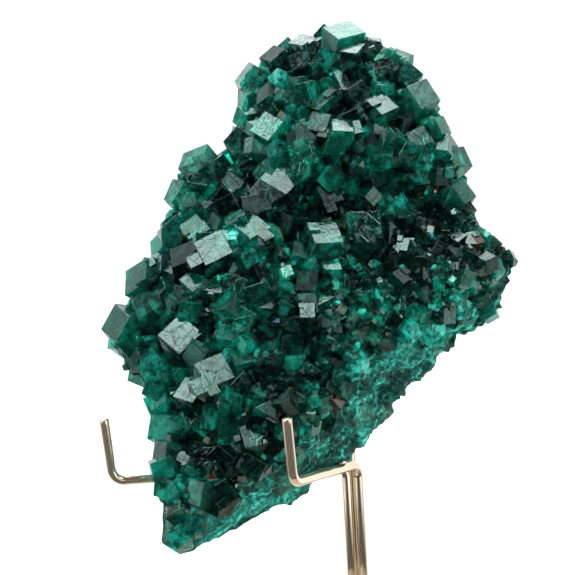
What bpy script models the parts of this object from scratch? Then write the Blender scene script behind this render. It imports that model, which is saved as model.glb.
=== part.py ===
"""A dioptase specimen, crystals on their matrix, held on a stand of three bent wires.

Units are millimetres until a mesh is made, and metres in the scene. +Z is up, the
specimen's crystal face looks towards -Y, and the origin is on the table under the post.

The specimen is worked out in its own slab frame: u runs to the right across the crystal
face, v runs up it, and w stands out of it towards the viewer.
"""

import math

import bmesh
import bpy
import numpy as np

for leftover in list(bpy.data.objects):
    bpy.data.objects.remove(leftover, do_unlink=True)

MM = 0.001
RELIEF_SEED = 29
SCATTER_SEED = 31
TOUCH_GAP = 0.3

# Stand
WIRE_RADIUS = 0.95
WIRE_BEVEL_RESOLUTION = 3
BEND_RADIUS = 2.6
BEND_STEPS = 5
POST_SPREAD = 1.15
POST_FRONT = -0.65
POST_BACK = 1.35
BACK_REST_LEAN = math.radians(16.6)
ARM_HEIGHT_RIGHT = 36.6
ARM_HEIGHT_LEFT = 37.2
ARM_RISE_LEFT = 0.6
HOOK_RIGHT_FOOT = (-11.4, -24.9)
HOOK_RIGHT_TIP = (-11.9, -26.6, 48.7)
HOOK_LEFT_FOOT = (-45.2, -12.0)
HOOK_LEFT_TIP = (-46.2, -13.4, 49.2)
BACK_REST_KNEE = 41.0
BACK_REST_TOP = 92.0
BASE_RADIUS = 42.0
BASE_THICKNESS = 5.0
BASE_EDGE = 0.8
SOCKET_RADIUS = 2.85
SOCKET_DEPTH = 3.0
BASE_SIDES = 40

# Specimen
SLAB_CENTRE = np.array([-8.1, -6.7, 71.0])
SLAB_LEAN = math.radians(15.0)
SLAB_ROLL = math.radians(3.2)
# The outline seen square on, in mm across and up from the slab's centre.
OUTLINE = np.array([
    (8.0, 52.5), (14.5, 50.0), (20.5, 46.5), (23.5, 41.5), (27.0, 36.0), (29.5, 31.0),
    (31.0, 25.5), (32.0, 18.5), (34.5, 14.5), (37.5, 11.0), (40.5, 7.0), (39.0, 2.0),
    (36.0, -3.0), (31.5, -7.5), (26.0, -11.0), (22.0, -15.5), (17.0, -20.5),
    (13.0, -25.5), (9.5, -29.5), (5.5, -33.0), (-0.5, -37.5), (-6.0, -41.0),
    (-10.5, -43.5), (-16.0, -46.5), (-22.0, -49.5), (-25.5, -47.5), (-26.0, -41.5),
    (-26.0, -35.5), (-26.0, -31.0), (-27.5, -25.5), (-28.0, -20.5), (-29.0, -17.0),
    (-33.0, -12.5), (-35.5, -8.0), (-35.0, -3.5), (-32.0, 0.5), (-31.0, 5.5),
    (-27.0, 9.0), (-25.5, 13.5), (-24.5, 18.5), (-23.5, 23.0), (-18.5, 26.0),
    (-13.0, 27.0), (-12.5, 31.5), (-11.0, 36.5), (-10.0, 42.0), (-7.5, 46.5),
    (-3.0, 50.0), (2.5, 51.5),
])
# The broken edge of the matrix shows along the lower right, between these bearings.
BROKEN_FROM = math.radians(-114.0)
BROKEN_TO = math.radians(8.0)
BROKEN_FADE = math.radians(14.0)
CRYSTAL_MARGIN = 1.2
BROKEN_MARGIN = -0.7
EDGE_ROUNDING = 4.2
BROKEN_ROUNDING = 1.6
FRONT_INSET = 2.2
WIDEST_HEIGHT = -4.0
BROKEN_HEIGHT = -8.5
BACK_EDGE_HEIGHT = -11.5
EDGE_STEP = 1.4
THINNEST = 0.25
BROKEN_INSET = 9.6
BACK_INSET = 5.0
BACK_DEPTH = 14.0
UPPER_LOBE_THINNER = 4.0
# The lower point hangs in front of the left arm, so it is thin at its left edge.
POINT_LEFT_EDGE = -26.0
POINT_DEPTH = 3.0
POINT_DEPTH_GAIN = 0.31
POINT_TOP = (-31.5, -27.0)
# Where the face ends, the widest line lies and the back begins, as travel from the
# middle of the face to the middle of the back.
STATIONS = (0.0, 0.5, 0.66, 0.8, 1.0)
LUMP_HEIGHT = 0.7
BACK_LUMP_GAIN = 0.5
CHIP_HEIGHT = 0.55
BODY_BEARINGS = 144
BODY_RINGS = 48
NORMAL_STEP = 0.012
SKIN_STEP = 0.9
FACET_SHARE = 0.024
# Each swelling or hollow of the crystal face: across, up, radius and height in mm.
SWELLINGS = [
    (9.0, 31.0, 17.0, 5.5),
    (-1.0, 46.0, 9.0, -1.5),
    (-8.0, -6.0, 19.0, 5.5),
    (12.0, 2.0, 14.0, 2.5),
    (-2.0, -26.0, 9.0, 4.0),
    (20.0, 16.0, 9.0, -6.0),
    (3.0, 14.5, 6.0, -3.5),
    (-18.0, -29.0, 6.5, -4.0),
    (-20.0, 7.0, 8.0, 2.5),
    (-17.0, -41.0, 9.0, 3.5),
]
FACE_HEIGHT = 2.0

# Dioptase: a six-sided prism closed by a steep rhombohedron, whose faces stand at this
# angle to the prism's axis.
RHOMB_SLOPE = math.radians(51.0)
ROOT_TAPER = 0.8
ROOT_DEPTH = 0.45
# The crystals that stand out in the face, by hand. Each row gives its place across and
# up, its width, and for its widest face how far it looks to the right and up in
# degrees, and the bearing of its topmost corner in the face in degrees.
MAIN_CRYSTALS = [
    (8.5, 47.5, 6.8, -35, 48, 60), (13.5, 47.0, 4.6, 20, 10, 120),
    (19.0, 46.5, 5.6, 20, 40, 15), (16.5, 43.0, 5.0, 5, 15, 80),
    (16.5, 39.0, 4.0, 0, 50, 40), (22.5, 37.5, 6.6, 25, 5, 75),
    (15.5, 33.5, 5.4, 10, 40, 350), (23.0, 29.0, 5.0, 20, 15, 70),
    (-11.0, 29.0, 5.4, -30, 5, 90), (-5.5, 30.0, 6.2, -15, 10, 100),
    (-8.5, 42.5, 5.0, -50, 25, 110), (-3.5, 18.5, 7.2, 0, 30, 20),
    (1.0, 24.0, 6.6, 0, 10, 150), (5.5, 17.5, 4.8, 10, 5, 65),
    (10.5, 29.5, 3.4, -15, 20, 60), (11.5, 23.0, 3.6, 10, 30, 20),
    (20.0, 15.0, 4.6, 0, 25, 75), (30.0, 19.5, 5.2, 45, 10, 80),
    (-15.5, 5.0, 6.8, 0, 45, 50), (-9.0, 9.0, 6.2, 10, 35, 85),
    (-20.5, 4.0, 6.4, -30, 25, 60), (-25.0, 8.5, 6.0, -50, 0, 160),
    (-29.0, 1.5, 7.2, -40, 15, 150), (-32.5, -7.0, 7.6, -45, 5, 100),
    (-19.5, 10.5, 5.2, -15, 10, 80), (-21.0, 16.5, 4.4, -25, 25, 55),
    (-22.5, 19.5, 5.4, -50, 10, 120), (-16.5, -2.0, 4.4, 0, 40, 45),
    (-22.0, -3.0, 4.2, -20, 25, 100), (-27.5, -4.0, 6.8, -25, 20, 70),
    (-21.5, -10.0, 7.2, -10, 5, 90), (-15.5, -17.5, 7.0, 0, 10, 70),
    (-13.0, -21.5, 5.4, 15, -10, 40), (-20.0, -20.5, 5.4, -15, 20, 110),
    (-25.5, -21.0, 4.6, -40, 15, 60), (-25.0, -26.0, 5.8, -35, -5, 130),
    (-8.5, -29.5, 5.6, 0, 15, 60), (-19.5, -30.5, 3.6, -10, 30, 45),
    (-13.5, -41.0, 7.4, 5, 5, 80), (-19.5, -44.5, 4.6, -10, -10, 120),
    (-24.5, -39.0, 4.6, -35, 5, 80), (-22.0, -46.5, 4.4, -20, -20, 80),
    (25.5, 2.5, 3.6, 10, 30, 50),
    (4.5, 7.5, 7.0, 0, 25, 60), (12.5, 10.0, 6.6, 10, 35, 20),
    (36.5, 5.0, 4.0, 40, 20, 70), (32.5, 1.5, 3.8, 20, 20, 90),
    (-27.0, -14.5, 6.0, -35, 5, 80), (-30.5, -12.0, 5.2, -40, -5, 60),
    (1.0, 48.5, 5.6, -10, 45, 100), (26.0, 32.0, 4.6, 50, 10, 60),
]
SCATTER_TRIES = 5200
SCATTER_SPACING = 0.72
MAIN_SWELL = 1.15
MAIN_RISE = 0.72
FOLLOW_SURFACE = 0.25
BLOCK_WIDTH = 7.4
FINE_WIDTH = 5.1


def smooth_step(low, high, value):
    """0 below low, 1 above high, and an even S between them."""
    t = np.clip((value - low) / (high - low), 0.0, 1.0)
    return t * t * (3.0 - 2.0 * t)


def slab_axes():
    """The slab's right, up and outward directions in the scene."""
    lean_c, lean_s = math.cos(SLAB_LEAN), math.sin(SLAB_LEAN)
    roll_c, roll_s = math.cos(SLAB_ROLL), math.sin(SLAB_ROLL)
    lean = np.array([(1, 0, 0), (0, lean_c, lean_s), (0, -lean_s, lean_c)])
    roll = np.array([(roll_c, 0, roll_s), (0, 1, 0), (-roll_s, 0, roll_c)])
    turn = lean @ roll
    return np.array([turn @ (1, 0, 0), turn @ (0, 0, 1), turn @ (0, -1, 0)])


SLAB_AXES = slab_axes()


def slab_to_scene(points):
    """Points in the slab frame, as points of the scene in millimetres."""
    return SLAB_CENTRE + points @ SLAB_AXES


def make_waves(seed, count, shortest, longest):
    """Seeded plane waves whose sum gives an even, unrepeating roughness."""
    chance = np.random.default_rng(seed)
    directions = chance.normal(size=(count, 3))
    directions /= np.linalg.norm(directions, axis=1)[:, None]
    lengths = chance.uniform(shortest, longest, count)
    phases = chance.uniform(0.0, 2.0 * math.pi, count)
    return directions * (2.0 * math.pi / lengths)[:, None], phases


LUMPS = make_waves(RELIEF_SEED, 10, 7.0, 17.0)
CHIPS = make_waves(RELIEF_SEED + 1, 14, 2.6, 6.0)


def roughness(points, waves):
    """The waves' sum at each point, between about -1 and 1."""
    vectors, phases = waves
    return np.sin(points @ vectors.T + phases).sum(axis=1) * math.sqrt(2.0 / len(phases)) / 1.6


OUTLINE_BEARINGS = np.arctan2(OUTLINE[:, 1], OUTLINE[:, 0])
OUTLINE_ORDER = np.argsort(OUTLINE_BEARINGS)
OUTLINE_REACH = np.hypot(OUTLINE[:, 0], OUTLINE[:, 1])


def outline_reach(bearing):
    """How far the outline is from the slab's centre along each bearing."""
    return np.interp(
        bearing,
        OUTLINE_BEARINGS[OUTLINE_ORDER],
        OUTLINE_REACH[OUTLINE_ORDER],
        period=2.0 * math.pi,
    )


def brokenness(bearing):
    """1 where the bare broken edge shows, 0 where crystals go round the edge."""
    return smooth_step(BROKEN_FROM - BROKEN_FADE, BROKEN_FROM, bearing) * (
        1.0 - smooth_step(BROKEN_TO, BROKEN_TO + BROKEN_FADE, bearing)
    )


def face_height(across, up):
    """The matrix's height under the crystals: a flat with swellings and hollows."""
    height = np.full(np.shape(across), FACE_HEIGHT)
    for centre_across, centre_up, radius, rise in SWELLINGS:
        squared = (across - centre_across) ** 2 + (up - centre_up) ** 2
        height = height + rise * np.exp(-squared / (radius * radius))
    return height


def back_depth(across, up):
    """How far the back lies behind the slab's middle; the lower point is thinner."""
    point_depth = POINT_DEPTH + POINT_DEPTH_GAIN * np.maximum(across - POINT_LEFT_EDGE, 0.0)
    in_point = 1.0 - smooth_step(*POINT_TOP, up)
    full = BACK_DEPTH - UPPER_LOBE_THINNER * smooth_step(30.0, 52.0, up)
    return full + in_point * (np.minimum(point_depth, full) - full)


def body_points(bearing, travel):
    """The matrix's surface. Reach and height run straight from station to station, the
    face carries its swellings and rounds off to its edge, and the back sinks to its
    depth."""
    reach = outline_reach(bearing)
    broken = brokenness(bearing)
    front = reach - CRYSTAL_MARGIN - FRONT_INSET
    front = front + (reach - BROKEN_INSET - front) * broken
    widest = reach - CRYSTAL_MARGIN + (CRYSTAL_MARGIN - BROKEN_MARGIN) * broken
    back = reach - BACK_INSET
    spans = [np.clip((travel - a) / (b - a), 0.0, 1.0) for a, b in zip(STATIONS, STATIONS[1:])]
    radius = (
        spans[0] * front
        + spans[1] * (widest - front)
        + spans[2] * (back - widest)
        - spans[3] * back
    )
    across = radius * np.cos(bearing)
    up = radius * np.sin(bearing)
    low = -back_depth(across, up)
    back_high = -back_depth(back * np.cos(bearing), back * np.sin(bearing)) + EDGE_STEP
    back_high = np.maximum(BACK_EDGE_HEIGHT, back_high)
    widest_high = WIDEST_HEIGHT + (BROKEN_HEIGHT - WIDEST_HEIGHT) * broken
    widest_high = np.maximum(widest_high, back_high + EDGE_STEP)
    front_face = face_height(front * np.cos(bearing), front * np.sin(bearing))
    rounding = EDGE_ROUNDING + (BROKEN_ROUNDING - EDGE_ROUNDING) * broken
    rounding = np.minimum(rounding, front_face - widest_high - EDGE_STEP)
    edge_high = front_face - rounding
    high = face_height(across, up) - smooth_step(0.55, 1.0, spans[0]) * rounding
    height = np.where(
        travel <= STATIONS[1],
        high,
        np.where(
            travel <= STATIONS[2],
            edge_high + spans[1] * (widest_high - edge_high),
            np.where(
                travel <= STATIONS[3],
                widest_high + spans[2] * (back_high - widest_high),
                back_high + smooth_step(0.0, 0.35, spans[3]) * (low - back_high),
            ),
        ),
    )
    return np.stack([across, up, height], axis=-1)


def body_normals(bearing, travel):
    """The outward direction of the matrix, from small steps along both parameters."""
    step = NORMAL_STEP
    along = body_points(bearing, travel + step) - body_points(bearing, travel - step)
    around = body_points(bearing + step, travel) - body_points(bearing - step, travel)
    normal = np.cross(along, around)
    return normal / np.linalg.norm(normal, axis=-1)[..., None]


def body_spot(bearing, travel):
    """One point of the matrix and its outward direction."""
    point = body_points(np.array([bearing]), np.array([travel]))[0]
    return point, body_normals(np.array([bearing]), np.array([travel]))[0]


def matrix_mesh():
    """The matrix as a fine grid of bearing and travel, moved out and in along its
    outward direction by the lumps and chips, with one point at each end."""
    bearings = np.linspace(-math.pi, math.pi, BODY_BEARINGS, endpoint=False)
    travels = np.linspace(0.0, 1.0, BODY_RINGS + 2)[1:-1]
    travel, bearing = np.meshgrid(travels, bearings, indexing="ij")
    bearing = bearing.ravel()
    travel = travel.ravel()
    points = body_points(bearing, travel)
    lump_height = LUMP_HEIGHT + BACK_LUMP_GAIN * smooth_step(0.74, 0.84, travel)
    shift = lump_height * roughness(points, LUMPS) + CHIP_HEIGHT * roughness(points, CHIPS)
    shift = shift * np.clip(back_depth(points[:, 0], points[:, 1]) / BACK_DEPTH, THINNEST, 1.0)
    points = points + body_normals(bearing, travel) * shift[:, None]
    ends = body_points(np.zeros(2), np.array([0.0, 1.0]))
    points = np.concatenate([points, ends])
    last = BODY_RINGS * BODY_BEARINGS
    faces = []
    for k in range(BODY_BEARINGS):
        after = (k + 1) % BODY_BEARINGS
        faces.append((last, k, after))
        for ring in range(BODY_RINGS - 1):
            a = ring * BODY_BEARINGS
            b = a + BODY_BEARINGS
            faces.append((a + k, b + k, b + after, a + after))
        a = (BODY_RINGS - 1) * BODY_BEARINGS
        faces.append((last + 1, a + after, a + k))
    return points, faces


def facet(item):
    """Evens the fine grid's skin, then lets it break into plain facets."""
    even = item.modifiers.new("even skin", "REMESH")
    even.mode = "VOXEL"
    even.voxel_size = SKIN_STEP * MM
    facets = item.modifiers.new("facets", "DECIMATE")
    facets.ratio = FACET_SHARE
    facets.use_collapse_triangulate = True
    bpy.context.view_layer.update()
    broken = bpy.data.meshes.new_from_object(
        item.evaluated_get(bpy.context.evaluated_depsgraph_get())
    )
    item.modifiers.clear()
    item.data = broken


CRYSTAL_FACES = (
    [(0, 1, 2, 3), (0, 3, 4, 5), (0, 5, 6, 1)]
    + [(1 + k, 7 + k, 7 + (k + 1) % 6, 1 + (k + 1) % 6) for k in range(6)]
    + [(12, 11, 10, 9, 8, 7)]
)


def crystal_shape(width, rise):
    """A dioptase crystal on its own axis: the apex, six upper corners that lie by turns
    on a ridge and at a low corner of the rhombohedron, and six corners of the root."""
    radius = width / 2.0
    drop = radius * math.tan(RHOMB_SLOPE)
    rows = [(0.0, 0.0, rise)]
    for k in range(6):
        angle = math.radians(60.0 * k - 60.0)
        lower = drop if k % 2 == 1 else drop / 2.0
        rows.append((radius * math.cos(angle), radius * math.sin(angle), rise - lower))
    for k in range(6):
        angle = math.radians(60.0 * k - 60.0)
        root = ROOT_TAPER * radius
        rows.append((root * math.cos(angle), root * math.sin(angle), -ROOT_DEPTH * width))
    return np.array(rows)


def face_up_axes(normal, right, up, bearing):
    """Axes of a crystal, one of whose end faces looks to the right and up of the
    viewer's direction by the given degrees, with its top corner at the bearing."""
    look = np.array([
        math.sin(math.radians(right)) * math.cos(math.radians(up)),
        math.sin(math.radians(up)),
        math.cos(math.radians(right)) * math.cos(math.radians(up)),
    ])
    look = look + FOLLOW_SURFACE * normal
    look /= np.linalg.norm(look)
    corner = np.array([math.cos(math.radians(bearing)), math.sin(math.radians(bearing)), 0.0])
    corner -= look * corner.dot(look)
    corner /= np.linalg.norm(corner)
    axis = math.cos(RHOMB_SLOPE) * look + math.sin(RHOMB_SLOPE) * corner
    low = look - axis * look.dot(axis)
    low /= np.linalg.norm(low)
    return np.array([low, np.cross(axis, low), axis])


def tilted_axes(normal, tilt, heading, spin):
    """Axes of a crystal whose own axis leans from the surface's outward direction."""
    side = np.cross(normal, (0.3, 0.9, 0.2))
    side /= np.linalg.norm(side)
    other = np.cross(normal, side)
    lean = math.cos(heading) * side + math.sin(heading) * other
    axis = math.cos(tilt) * normal + math.sin(tilt) * lean
    first = np.cross(axis, other)
    first /= np.linalg.norm(first)
    second = np.cross(axis, first)
    return np.array([
        math.cos(spin) * first + math.sin(spin) * second,
        -math.sin(spin) * first + math.cos(spin) * second,
        axis,
    ])


def face_travel(across, up):
    """The bearing and travel of the body's point that lies at this place in the face."""
    bearing = math.atan2(up, across)
    steps = np.linspace(0.0, 0.66, 200)
    points = body_points(np.full(200, bearing), steps)
    reach = np.hypot(points[:, 0], points[:, 1])
    nearest = int(np.argmin(np.abs(reach - math.hypot(across, up))))
    return bearing, float(steps[nearest])


def crystal_width_at(point, chance):
    """Big blocks at the top and left, finer crystals at the centre right."""
    fine = smooth_step(-4.0, 12.0, point[0] - 0.25 * point[1])
    fine = fine * (1.0 - smooth_step(16.0, 28.0, point[1]))
    width = BLOCK_WIDTH + (FINE_WIDTH - BLOCK_WIDTH) * fine
    return width * chance.uniform(0.76, 1.12)


def place_crystals():
    """Every crystal as (centre, axes, width, rise): the chosen ones, then a seeded
    scatter that fills the room left between them on the face and round the rim."""
    placed = []
    for across, up, width, right, lift, bearing in MAIN_CRYSTALS:
        around, travel = face_travel(across, up)
        centre, normal = body_spot(around, travel)
        axes = face_up_axes(normal, right, lift, bearing)
        placed.append((centre, axes, MAIN_SWELL * width, MAIN_RISE * width))
    chance = np.random.default_rng(SCATTER_SEED)
    for _ in range(SCATTER_TRIES):
        around = chance.uniform(-math.pi, math.pi)
        travel = 0.5 * math.sqrt(chance.uniform(0.0, 1.0)) * chance.uniform(1.0, 1.46)
        tilt = chance.uniform(0.0, 0.75)
        heading = chance.uniform(0.0, 2.0 * math.pi)
        spin = chance.uniform(0.0, 2.0 * math.pi)
        broken = float(brokenness(around))
        if travel > 0.68 - 0.19 * broken:
            continue
        centre, normal = body_spot(around, travel)
        width = crystal_width_at(centre, chance)
        rise = width * chance.uniform(0.36, 0.60)
        crowded = any(
            np.linalg.norm(centre - other) < SCATTER_SPACING * 0.5 * (width + other_width)
            for other, _, other_width, _ in placed
        )
        if crowded:
            continue
        placed.append((centre, tilted_axes(normal, tilt, heading, spin), width, rise))
    return placed


def new_object(name, points, faces, material):
    """A mesh object from points in scene millimetres."""
    mesh = bpy.data.meshes.new(name)
    mesh.from_pydata((points * MM).tolist(), [], faces)
    mesh.materials.append(material)
    item = bpy.data.objects.new(name, mesh)
    bpy.context.collection.objects.link(item)
    return item


def new_material(name, colour, roughness_value, metallic):
    material = bpy.data.materials.new(name)
    material.use_nodes = True
    shader = material.node_tree.nodes["Principled BSDF"]
    shader.inputs["Base Color"].default_value = (*colour, 1.0)
    shader.inputs["Roughness"].default_value = roughness_value
    shader.inputs["Metallic"].default_value = metallic
    return material


def keep_outer_shell(mesh):
    """Deletes the loose islands, inner pockets and specks hung on a shared edge that the
    union leaves, so that only the largest shell stays."""
    work = bmesh.new()
    work.from_mesh(mesh)
    unseen = set(work.faces)
    islands = []
    while unseen:
        start = unseen.pop()
        island = [start]
        queue = [start]
        while queue:
            for edge in queue.pop().edges:
                if len(edge.link_faces) != 2:
                    continue
                for face in edge.link_faces:
                    if face in unseen:
                        unseen.remove(face)
                        island.append(face)
                        queue.append(face)
        islands.append(island)
    islands.sort(key=len)
    spare = [face for island in islands[:-1] for face in island]
    bmesh.ops.delete(work, geom=spare, context="FACES")
    loose = [vert for vert in work.verts if not vert.link_faces]
    bmesh.ops.delete(work, geom=loose, context="VERTS")
    bmesh.ops.dissolve_limit(
        work, angle_limit=math.radians(0.5), verts=work.verts, edges=work.edges
    )
    bmesh.ops.triangulate(work, faces=work.faces)
    work.to_mesh(mesh)
    work.free()


def make_specimen():
    """The matrix and every crystal, united into one solid."""
    material = new_material("dioptase", (0.01, 0.16, 0.11), 0.12, 0.0)
    points, faces = matrix_mesh()
    specimen = new_object("dioptase_specimen", slab_to_scene(points), faces, material)
    facet(specimen)
    stock_points = []
    stock_faces = []
    for centre, axes, width, rise in place_crystals():
        shape = crystal_shape(width, rise)
        first = sum(len(block) for block in stock_points)
        stock_points.append(slab_to_scene(centre + shape @ axes))
        stock_faces += [tuple(first + index for index in face) for face in CRYSTAL_FACES]
    crystals = new_object("crystal_stock", np.concatenate(stock_points), stock_faces, material)
    for item in (specimen, crystals):
        work = bmesh.new()
        work.from_mesh(item.data)
        bmesh.ops.recalc_face_normals(work, faces=work.faces)
        work.to_mesh(item.data)
        work.free()
    union = specimen.modifiers.new("crystals grown on", "BOOLEAN")
    union.operation = "UNION"
    union.object = crystals
    union.solver = "EXACT"
    union.use_self = True
    bpy.context.view_layer.update()
    grown = bpy.data.meshes.new_from_object(
        specimen.evaluated_get(bpy.context.evaluated_depsgraph_get())
    )
    specimen.modifiers.clear()
    specimen.data = grown
    bpy.data.objects.remove(crystals, do_unlink=True)
    keep_outer_shell(grown)
    return specimen


def rounded_route(corners, radius):
    """The corners joined by straight runs, each bend an arc of the given radius."""
    corners = [np.array(corner, dtype=float) for corner in corners]
    route = [corners[0]]
    for before, corner, after in zip(corners, corners[1:], corners[2:]):
        arriving = (before - corner) / np.linalg.norm(before - corner)
        leaving = (after - corner) / np.linalg.norm(after - corner)
        half = math.acos(float(np.clip(arriving.dot(leaving), -1.0, 1.0))) / 2.0
        middle = arriving + leaving
        centre = corner + middle / np.linalg.norm(middle) * radius / math.sin(half)
        start = corner + arriving * radius / math.tan(half)
        end = corner + leaving * radius / math.tan(half)
        sweep = math.pi - 2.0 * half
        for k in range(BEND_STEPS + 1):
            share = k / BEND_STEPS
            blend = (
                math.sin((1.0 - share) * sweep) * (start - centre)
                + math.sin(share * sweep) * (end - centre)
            ) / math.sin(sweep)
            route.append(centre + blend)
    route.append(corners[-1])
    return route


def make_wire(name, corners, material):
    """A bent wire: a round profile along the route, with flat closed ends."""
    route = rounded_route(corners, BEND_RADIUS)
    curve = bpy.data.curves.new(name, "CURVE")
    curve.dimensions = "3D"
    curve.bevel_depth = WIRE_RADIUS * MM
    curve.bevel_resolution = WIRE_BEVEL_RESOLUTION
    curve.use_fill_caps = True
    spline = curve.splines.new("POLY")
    spline.points.add(len(route) - 1)
    for place, point in zip(spline.points, route):
        place.co = (*(point * MM), 1.0)
    spline.use_smooth = True
    curve.materials.append(material)
    wire = bpy.data.objects.new(name, curve)
    bpy.context.collection.objects.link(wire)
    return wire


def make_stand():
    """Three bent wires whose lower ends stand together as the post, in a round foot."""
    nickel = new_material("polished_wire", (0.78, 0.72, 0.62), 0.16, 1.0)
    foot = BASE_THICKNESS - SOCKET_DEPTH + TOUCH_GAP
    left_rod = (-POST_SPREAD, POST_FRONT)
    right_rod = (POST_SPREAD, POST_FRONT)
    back_rod = (0.0, POST_BACK)
    make_wire(
        "right_arm_wire",
        [
            HOOK_RIGHT_TIP,
            (*HOOK_RIGHT_FOOT, ARM_HEIGHT_RIGHT),
            (*right_rod, ARM_HEIGHT_RIGHT),
            (*right_rod, foot),
        ],
        nickel,
    )
    make_wire(
        "left_arm_wire",
        [
            HOOK_LEFT_TIP,
            (*HOOK_LEFT_FOOT, ARM_HEIGHT_LEFT),
            (*left_rod, ARM_HEIGHT_LEFT - ARM_RISE_LEFT),
            (*left_rod, foot),
        ],
        nickel,
    )
    rest_run = (BACK_REST_TOP - BACK_REST_KNEE) * math.tan(BACK_REST_LEAN)
    make_wire(
        "back_rest_wire",
        [
            (0.0, POST_BACK + rest_run, BACK_REST_TOP),
            (0.0, POST_BACK, BACK_REST_KNEE),
            (*back_rod, foot),
        ],
        nickel,
    )


def make_base():
    """A round plate with a bevelled rim and a blind socket for the post."""
    steel = new_material("base_plate", (0.74, 0.70, 0.62), 0.22, 1.0)
    mesh = bpy.data.meshes.new("stand_base")
    work = bmesh.new()
    levels = [
        (BASE_RADIUS - BASE_EDGE, 0.0),
        (BASE_RADIUS, BASE_EDGE),
        (BASE_RADIUS, BASE_THICKNESS - BASE_EDGE),
        (BASE_RADIUS - BASE_EDGE, BASE_THICKNESS),
        (SOCKET_RADIUS, BASE_THICKNESS),
        (SOCKET_RADIUS, BASE_THICKNESS - SOCKET_DEPTH),
    ]
    rings = []
    for radius, height in levels:
        ring = []
        for k in range(BASE_SIDES):
            angle = 2.0 * math.pi * k / BASE_SIDES
            place = (radius * math.cos(angle) * MM, radius * math.sin(angle) * MM, height * MM)
            ring.append(work.verts.new(place))
        rings.append(ring)
    for lower, upper in zip(rings, rings[1:]):
        for k in range(BASE_SIDES):
            after = (k + 1) % BASE_SIDES
            work.faces.new((lower[k], lower[after], upper[after], upper[k]))
    work.faces.new(reversed(rings[0]))
    work.faces.new(rings[-1])
    bmesh.ops.recalc_face_normals(work, faces=work.faces)
    work.to_mesh(mesh)
    work.free()
    mesh.materials.append(steel)
    base = bpy.data.objects.new("stand_base", mesh)
    bpy.context.collection.objects.link(base)
    mesh.shade_smooth()
    mesh.set_sharp_from_angle(angle=math.radians(30.0))


make_specimen()
make_stand()
make_base()
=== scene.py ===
"""The looks of a dioptase specimen on its wire stand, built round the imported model.

Points are millimetres until a mesh is made, and metres in the scene. The specimen is
worked out in its own slab frame: u runs to the right across the crystal face, v runs up
it, and w stands out of it towards the viewer.
"""

import math

import bpy
import numpy as np
from mathutils import Matrix


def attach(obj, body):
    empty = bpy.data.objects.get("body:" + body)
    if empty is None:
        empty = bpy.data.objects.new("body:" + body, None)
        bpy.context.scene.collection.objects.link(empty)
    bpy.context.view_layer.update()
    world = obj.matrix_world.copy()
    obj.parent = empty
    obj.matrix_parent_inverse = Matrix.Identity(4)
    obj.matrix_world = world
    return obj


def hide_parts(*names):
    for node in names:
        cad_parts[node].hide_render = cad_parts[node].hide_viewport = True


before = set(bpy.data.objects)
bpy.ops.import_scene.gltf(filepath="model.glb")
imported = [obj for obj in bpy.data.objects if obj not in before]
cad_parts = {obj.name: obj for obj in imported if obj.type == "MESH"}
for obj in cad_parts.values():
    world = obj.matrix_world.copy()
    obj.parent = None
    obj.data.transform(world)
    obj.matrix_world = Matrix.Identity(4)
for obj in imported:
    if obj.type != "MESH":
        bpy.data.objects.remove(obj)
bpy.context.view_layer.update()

MM = 0.001
FULL_TURN = 2.0 * math.pi

# Camera, at the photograph's viewing angle
CAMERA_DISTANCE = 420.0
CAMERA_RISE = math.radians(2.0)
CAMERA_ROLL = math.radians(3.2)
CAMERA_ASIDE = (-2.375, 0.475)
CAMERA_LENS = 138.4
SENSOR_WIDTH = 36.0
NEAREST_SEEN = 0.01

# Stand
WIRE_RADIUS = 0.95
WIRE_SIDES = 40
WIRE_TIP = 0.32
TIP_RINGS = 5
BEND_RADIUS = 2.6
BEND_STEPS = 18
RUN_STEPS = 8
POST_SPREAD = 1.15
POST_FRONT = -0.65
POST_BACK = 1.35
BACK_REST_LEAN = math.radians(16.6)
ARM_HEIGHT_RIGHT = 36.6
ARM_HEIGHT_LEFT = 37.2
ARM_RISE_LEFT = 0.6
HOOK_RIGHT_FOOT = (-11.4, -24.9)
HOOK_RIGHT_TIP = (-11.9, -26.6, 48.7)
HOOK_LEFT_FOOT = (-45.2, -12.0)
HOOK_LEFT_TIP = (-46.2, -13.4, 49.2)
BACK_REST_KNEE = 41.0
BACK_REST_TOP = 92.0
BACK_REST_RUN = (BACK_REST_TOP - BACK_REST_KNEE) * math.tan(BACK_REST_LEAN)
ROD_FOOT = 2.3
BASE_RADIUS = 42.0
BASE_THICKNESS = 5.0
BASE_EDGE = 0.8
SOCKET_RADIUS = 2.85
SOCKET_DEPTH = 3.0
SOCKET_CHAMFER = 0.3
BASE_SIDES = 144
EDGE_RINGS = 6
FLAT_RING_SHARE = 0.6
SHARP_ANGLE = math.radians(35.0)

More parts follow.
